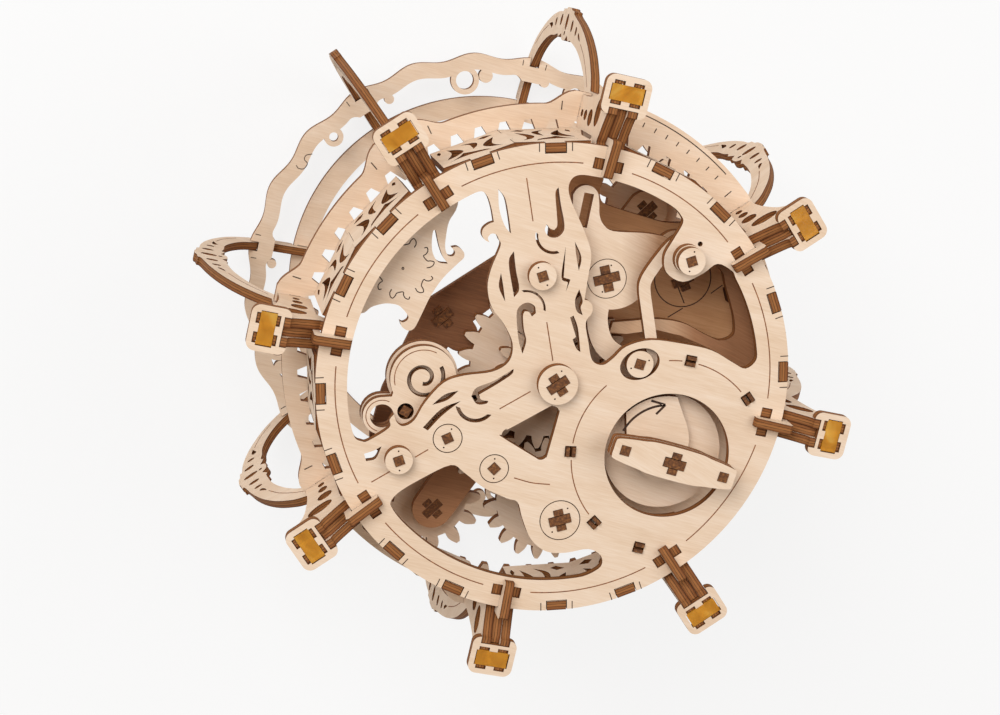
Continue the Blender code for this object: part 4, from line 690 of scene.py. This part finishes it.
for k, p in enumerate(((62.5, 0.6), (63.6, 19.4))):
    wood(f"guard_block_{k + 1}", "frame", here, [rect(p, BLOCK, BLOCK, 12)], BRIDGE_HIGH, layer(3)[0])

# Ring of birch plywood under the rear plate, round the winding key. Its five square pins are split by a saw cut,
# pass through the plate and hold the ring to it.
def ring_rim(a0, a1, n):
    """Outer edge 34 mm from the crank, but never more than 65.4 mm from the main axis."""
    way = arc(MAIN, 1.0, a0, a1, n)
    b = way @ np.array(CRANK)
    r = np.minimum(34.0, np.sqrt(b * b - CRANK[0] ** 2 - CRANK[1] ** 2 + 65.4 ** 2) - b)
    return way * r[:, None] + CRANK


rim_loop = np.vstack([ring_rim(12, 75, 30), arc(CRANK, 25.6, 88, 130, 20), ring_rim(143, 280, 60), arc(CRANK, 21.2, 280, 12, 90)])
wood("motor_ring_cut", "frame", ["motor_ring"], [rim_loop], *layer(0))
for k, (p, a) in enumerate(PIN_SPOTS):
    prongs = [rect(p + turned([(s * 0.95, 0)], (0, 0), a)[0], 1.1, 3.0, a) for s in (-1, 1)]
    wood(f"split_pin_{k + 1}", "frame", ["motor_ring"], prongs, -3.4, 0.9, lying, (end, edge), slot="charred_plywood")

# Sector plate: a scroll cut segment under the upper left of the rim, hung on two glued blocks, with a gear
# engraved in it
def teeth(c, count, module, phase, addendum=0.85, dedendum=1.2, slack=0.34):
    """Spur gear outline with 25 degree involute flanks: half tooth angle pi/2n + inv(pitch) - inv(r), thinned by slack."""
    pitch = count * module / 2
    r = np.linspace(pitch - dedendum * module, pitch + addendum * module, 6)

    def roll(radius):
        x = np.arccos(np.minimum(1.0, pitch * math.cos(math.radians(25)) / radius))
        return np.tan(x) - x

    half = np.degrees(math.pi / (2 * count) - slack / (2 * pitch) + roll(pitch) - roll(r))
    half = np.minimum(half, 360 / count * 0.36)
    at = np.arange(count)[:, None] * 360 / count + phase + np.concatenate([-half, half[::-1]])
    return polar(np.broadcast_to(np.concatenate([r, r[::-1]]), at.shape).ravel(), at.ravel(), c)


sector = np.vstack([
    arc(MAIN, 70.8, 112, 158, 50),
    [(-59.0, 24.0), (-55.6, 25.8), (-52.0, 26.6), (-49.2, 26.4), (-46.7, 25.4), (-44.4, 22.4), (-44.6, 21.0), (-46.0, 20.3),
     (-47.0, 20.8), (-46.4, 18.9), (-44.6, 17.6), (-42.6, 18.2), (-40.3, 22.1), (-37.1, 28.0), (-33.2, 33.2), (-28.7, 37.3),
     (-26.4, 39.2), (-26.0, 40.4), (-26.4, 41.6), (-28.0, 43.0), (-29.9, 42.9), (-28.9, 41.4), (-29.6, 40.2), (-31.2, 40.6),
     (-31.9, 42.9), (-31.6, 46.0), (-30.4, 51.0), (-27.5, 56.0)]])
slit = [(-34.6, 48.5), (-33.8, 43.8), (-32.8, 40.4), (-31.3, 37.9), (-34.2, 38.6), (-35.8, 41.4), (-36.0, 45.0), (-35.4, 48.4)]
here = ["sector_plate"]
wood("sector_cut", "frame", here, [smooth(sector, 80), smooth(slit, 80)], *layer(2))
for k, a in enumerate((133, 150)):
    wood(f"sector_block_{k + 1}", "frame", here, [rect(polar(68.2, a), BLOCK, BLOCK, a)], layer(2)[1], layer(0)[1])
ENGRAVED = (-45.3, 37.3)
gear_line = teeth(ENGRAVED, 12, 1.45, 6, 0.8, 0.9)
line = flow(np.vstack([gear_line[::2], gear_line[:1]]), 4)
pieces = [line[j:j + 40] for j in range(0, len(line) - 40, 48)]
scored("sector_scores", "frame", pieces + [arc(ENGRAVED, 0.3, 0, 350, 12)], layer(2)[1], 0.32, burnt)

# Click lever: a large plate of birch plywood round a disc on a cross post, its face darker towards the rim. A leaf
# spring that is clamped under the upper right post bears on its square axle, which shows in the oval slot under
# a washer.
lever_edge = np.vstack([
    arc((12.1, 56.3), 4.1, 168, 2, 12),
    [(16.3, 53.8), (16.3, 50.9), (17.4, 47.9), (20.6, 45.5), (29.9, 44.4), (35.6, 43.2), (38.0, 42.2), (36.6, 40.2), (33.2, 34.4),
     (31.6, 29.4), (31.0, 26.0), (28.2, 23.5), (25.3, 21.7), (21.6, 20.7), (17.8, 20.9), (13.0, 22.6), (9.6, 27.0), (9.0, 34.0),
     (8.4, 42.0), (7.8, 49.0)],
])
lever_arm = strip(flow([(16.0, 25.0), (14.9, 17.0), (16.6, 10.0), (21.0, 5.8), (26.8, 4.0)], 8), 6.6)
lever_loops = joined([smooth(lever_edge, 80), lever_arm, circle(ROCKER_END, 4.6)])[:1]
lever_loops += [circle(ROCKER, 6.35, 72), strip([(13.2, 57.8), (10.7, 47.4)], 3.1), rect(ROCKER_END, SQUARE, SQUARE, -20)]
# The lever's face goes from pale birch to brown towards the rim
darker_to_rim = tone_along_x("birch_face_darker_to_rim", PALE, ("#9C7454", "#AC8260", "#BA906D"), 0.023, 0.035)
wood("click_lever_cut", "click", ["click_lever"], lever_loops, *layer(1), finish=(darker_to_rim, edge))
post("click_axle", "click", ["click_lever_axle"], ROCKER_END, layer(1)[0], 0.6, -20)
washer("click_washer", "click", ["click_lever_axle"], ROCKER_END, 4.3, -2.7, -20, pricks=40)
blade = flow([(38.6, 40.6), (36.4, 38.4), (32.2, 33.3), (29.9, 29.6), (29.5, 26.6), (30.0, 21.8), (31.2, 12.0), (32.2, 2.0)], 10)
spring_loops = joined([circle(POSTS[1], 7.0, 60), strip(blade, 3.7)]) + [rect(POSTS[1], SQUARE, SQUARE, 15)]
wood("leaf_spring_cut", "frame", ["leaf_spring"], spring_loops, *layer(0))
collar = [circle(POSTS[1], 4.3, 60), rect(POSTS[1], SQUARE, SQUARE, 15)]
wood("leaf_spring_spacer", "frame", ["leaf_spring"], collar, layer(1)[0], layer(0)[0])

# Scroll lever: two layers of birch plywood glued together, free on a square post. The upper one has a spiral cut,
# both have a round eye.
EYE, LOBE = (-54.6, -7.4), (-41.2, 3.6)
turns = np.linspace(0, 14, 90)
spiral = np.vstack([polar(7.2 - 4.9 * turns / 14, 30 - 35 * turns, LOBE),
                    polar(np.maximum(5.9 - 4.9 * turns / 14, 0.9), 30 - 35 * turns, LOBE)[::-1]])
bores = [circle(SCROLL, 2.6, 32), circle(EYE, 3.7, 40)]
glued = [("upper", 10.3, (5.6, 7.5, 5.0, 6.0), layer(0)), ("lower", 11.2, (5.6, 8.0, 5.0, 6.4), (layer(1)[0], layer(0)[0]))]
for part, head, size, faces in glued:
    arms = [circle(LOBE, head, 90), capsule(SCROLL, LOBE, size[0], size[1]), capsule(SCROLL, EYE, size[2], size[3])]
    loops = joined(arms)[:1] + bores + ([spiral] if part == "upper" else [])
    wood(f"scroll_lever_{part}", "scroll", ["scroll_lever"], loops, *faces)
curls = [arc(EYE, 5.0, 60, 250, 30), arc(LOBE, 9.0, 60, 190, 30)]
scored("scroll_lever_scores", "scroll", curls, layer(0)[1], 0.28)

# Winding key of two stacked plywood bars pinned together, glued on a cross axle. The axle carries the disc with
# the arrow, the cord drum and its gear.
KEY_ANGLE, KEY_LOW, KEY_HALF = -19.7, 3.5, 20.4
quarter = np.array([(KEY_HALF, 0), (KEY_HALF, 2.0), (KEY_HALF - 0.6, 3.2), (KEY_HALF * 0.78, 4.0), (KEY_HALF * 0.55, 4.6),
                    (8.4, 5.1), (4.2, 5.3)])
top = np.vstack([quarter, [(0, 5.35)], quarter[::-1] * (-1, 1)])
key_line = smooth(np.vstack([top, (top * (1, -1))[::-1][1:-1]]), 60, 6)
crank_bore = cross(CRANK, 0.12, KEY_ANGLE)
pins = [polar(s * 16.6, KEY_ANGLE, CRANK) for s in (1, -1)]
for k, low in enumerate((KEY_LOW, KEY_LOW + PLY + GAP)):
    holes = [rect(p, 3.16, 3.16, KEY_ANGLE) for p in pins]
    bar_loops = [turned(key_line, CRANK, KEY_ANGLE), crank_bore] + holes
    wood(f"key_bar_{k + 1}", "winding_shaft", ["winding_key"], bar_loops, low, low + PLY)
for k, p in enumerate(pins):
    post(f"key_pin_{k + 1}", "winding_shaft", ["winding_key"], p, KEY_LOW + 0.2, KEY_LOW + 6.6, KEY_ANGLE)
post("crank_axle", "winding_shaft", ["winding_axle"], CRANK, BRIDGE_LOW, KEY_LOW + 6.6, KEY_ANGLE, "cross")
free_edge = flow([(41.2, -13.7), (42.6, -18.0), (43.2, -22.6), (42.2, -29.0)])
disc = np.vstack([[(22.9, -22.0), (22.9, -12.3)], arc(CRANK, 18.6, 128, 76, 30), free_edge, arc(CRANK, 9.6, -18, -150, 24)])
wood("arrow_disc_cut", "winding_shaft", ["arrow_disc"], [disc, crank_bore], *layer(0))
head = [polar(13.2, 101, CRANK), polar(15.8, 88, CRANK), polar(18.0, 103, CRANK)]
arrow = [arc(CRANK, 15.7, 148, 91, 30), np.stack([head[1], head[0]]), np.stack([head[1], head[2]])]
scored("arrow_disc_scores", "winding_shaft", arrow, layer(0)[1], 0.75, burnt)
for part, r, low, high in (("rear", 19.0, *layer(1)), ("core", 11.0, layer(4)[1], layer(1)[0]), ("front", 19.0, *layer(4))):
    wood(f"drum_{part}", "winding_shaft", ["winding_drum"], [circle(CRANK, r, 120), crank_bore], low, high)
MODULE, DRUM_TEETH, MAIN_TEETH, STAR_TEETH, A_TEETH, B_TEETH, SMALL_TEETH = 2.0, 30, 14, 26, 12, 19, 9
wood("drum_gear_cut", "winding_shaft", ["drum_gear"], [teeth(CRANK, DRUM_TEETH, MODULE, 0.0), crank_bore], *layer(5))

# Main shaft: a cross axle of two notched strips under a washer. The pinion that the drum gear drives, the star
# gear and the two bars of the planet carrier are glued on it.
def mesh_phase(c1, n1, phase1, c2, n2):
    """Phase that sets gear 2 with a gap where gear 1 has a tooth."""
    line = math.degrees(math.atan2(c2[1] - c1[1], c2[0] - c1[0]))
    return line + 180 - 360 / n2 * (0.5 - ((line - phase1) * n1 / 360) % 1)


main_phase = mesh_phase(CRANK, DRUM_TEETH, 0.0, MAIN, MAIN_TEETH)
main_bore = cross(MAIN, 0.12, 30)
post("main_cross", "main_shaft", ["main_axle"], MAIN, layer(11)[0], PROUD, 30, "cross")
washer("main_washer", "main_shaft", ["main_axle"], MAIN, 6.3, GAP, 30, "cross")
wood("main_pinion_cut", "main_shaft", ["main_pinion"], [teeth(MAIN, MAIN_TEETH, MODULE, main_phase), main_bore], *layer(5))
wood("star_gear_cut", "main_shaft", ["star_gear"], [teeth(MAIN, STAR_TEETH, MODULE, main_phase), main_bore], *layer(6))
CARRIER, ORBIT = 52.0, 60.0
orbits = [polar(ORBIT, CARRIER + 180 * k) for k in (0, 1)]
bar = joined([circle(MAIN, 10.0, 60)] + [capsule(MAIN, p, 7.5, 6.6) for p in orbits])[0]
# Painted shade on the rear carrier bar: warm brown, darkest on the left
carrier_shade_face = tone_along_x("carrier_face_painted_shade", ("#A9754E", "#B8835B", "#C48F66"), ("#D2A47C", "#DEB18A", "#E8BE99"), -0.01, 0.01)
wood("carrier_rear_bar", "main_shaft", ["planet_carrier_rear"], [bar, main_bore], *layer(8), finish=(carrier_shade_face, edge))
wood("carrier_core", "main_shaft", ["planet_carrier_rear"], [circle(MAIN, 7.0, 60), main_bore], layer(10)[0], layer(8)[0])
tips = [cross(p, 0.12, CARRIER - 13) for p in orbits]
wood("carrier_front_bar", "main_shaft", ["planet_carrier_front"], [bar, main_bore] + tips, *layer(11))
for k, p in enumerate(orbits):
    ends = layer(11)[0], layer(8)[1] + GAP / 2
    post(f"planet_axle_{k + 1}", "main_shaft", ["planet_carrier_rear"], p, *ends, CARRIER - 13, "cross")

# Planet gears of birch plywood, each with a round bore, free on its cross axle and meshed with the ring gear
# plate
for k, p in enumerate(orbits):
    line = CARRIER + 180 * k
    phase = line - 30 * (((line - 3.0) / 6) % 1 - 0.5)
    loops = [teeth(p, 12, 2.5, phase), circle(p, 4.2, 40)]
    wood(f"planet_{k + 1}", f"planet_{('one', 'two')[k]}", [f"planet_gear_{k + 1}"], loops, *layer(10))

# Idler gears of birch plywood: a stepped pair, a wheel and a small pinion. Their axles end in discs flush with
# the rear plate.
a_phase = mesh_phase(MAIN, STAR_TEETH, main_phase, IDLER_A, A_TEETH)
b_phase = mesh_phase(MAIN, STAR_TEETH, main_phase, IDLER_B, B_TEETH)
c_phase = mesh_phase(IDLER_A, SMALL_TEETH, a_phase, IDLER_C, SMALL_TEETH)
idlers = [("a", IDLER_A, 4.4, 20, "square"), ("b", IDLER_B, 6.3, 10, "cross"), ("c", IDLER_C, 4.4, 40, "square")]
for name, c, r, turn, kind in idlers:
    post(f"idler_{name}_post", f"idler_{name}", [f"idler_{name}_axle"], c, BRIDGE_LOW, GAP, turn, kind)
    washer(f"idler_{name}_disc", f"idler_{name}", [f"idler_{name}_axle"], c, r, -PLY, turn, kind)
square_a, square_c = rect(IDLER_A, 3.24, 3.24, 20), rect(IDLER_C, 3.24, 3.24, 40)
wood("idler_a_large", "idler_a", ["idler_a_wheel"], [teeth(IDLER_A, A_TEETH, MODULE, a_phase, 0.65), square_a], *layer(6))
wood("idler_a_small", "idler_a", ["idler_a_wheel"], [teeth(IDLER_A, SMALL_TEETH, MODULE, a_phase), square_a], *layer(5))
wood("idler_a_hub", "idler_a", ["idler_a_wheel"], [circle(IDLER_A, 6.0, 40), square_a], layer(6)[1], layer(5)[0])
wood("idler_b_cut", "idler_b", ["idler_b_wheel"], [teeth(IDLER_B, B_TEETH, MODULE, b_phase), cross(IDLER_B, 0.12, 10)], *layer(6))
wood("idler_c_cut", "idler_c", ["idler_c_pinion"], [teeth(IDLER_C, SMALL_TEETH, MODULE, c_phase), square_c], *layer(5))

# Table, daylight box and lamp: plain and pale, at a level where a colour renders about as it is written
floor = bpy.data.objects.new("floor", bpy.data.meshes.new("floor"))
floor.data.from_pydata([(-6, -6, 0), (6, -6, 0), (6, 6, 0), (-6, 6, 0)], [], [(0, 1, 2, 3)])
bpy.context.collection.objects.link(floor)
paper, tree, shader = start("white_paper_floor")
shader.inputs["Base Color"].default_value = (0.86, 0.86, 0.86, 1)
shader.inputs["Roughness"].default_value = 0.9
seen = add(tree, "ShaderNodeLightPath")
rays = add(tree, "ShaderNodeMath", {0: seen.outputs["Is Camera Ray"], 1: seen.outputs["Is Glossy Ray"]}, operation="MAXIMUM")
rays = add(tree, "ShaderNodeMath", {0: rays.outputs[0], 1: seen.outputs["Is Transmission Ray"]}, operation="MAXIMUM")
glow = add(tree, "ShaderNodeEmission", {"Color": (1, 1, 1, 1), "Strength": 1.0})
part = add(tree, "ShaderNodeMath", {0: rays.outputs[0], 1: 0.8}, operation="MULTIPLY")
blended = add(tree, "ShaderNodeMixShader", {"Fac": part.outputs[0], 1: shader.outputs[0], 2: glow.outputs[0]})
tree.links.new(blended.outputs[0], tree.nodes["Material Output"].inputs["Surface"])
floor.data.materials.append(paper)

world = bpy.data.worlds.new("soft_daylight")
world.use_nodes = True
world.node_tree.nodes["Background"].inputs["Color"].default_value = (1.0, 0.94, 0.87, 1)
world.node_tree.nodes["Background"].inputs["Strength"].default_value = 0.34
bpy.context.scene.world = world
for name, place, size, power in (("softbox_key", (-0.55, 0.8, 1.25), 0.9, 14.8), ("softbox_fill", (0.8, 0.2, 1.15), 0.9, 5.4)):
    lamp = bpy.data.objects.new(name, bpy.data.lights.new(name, "AREA"))
    lamp.data.size, lamp.data.energy = size, power
    lamp.location = place
    lamp.rotation_mode = "QUATERNION"
    lamp.rotation_quaternion = (Vector((0, 0, 0.12)) - Vector(place)).to_track_quat("-Z", "Y")
    bpy.context.collection.objects.link(lamp)

scene = bpy.context.scene
scene.view_settings.view_transform = "Standard"
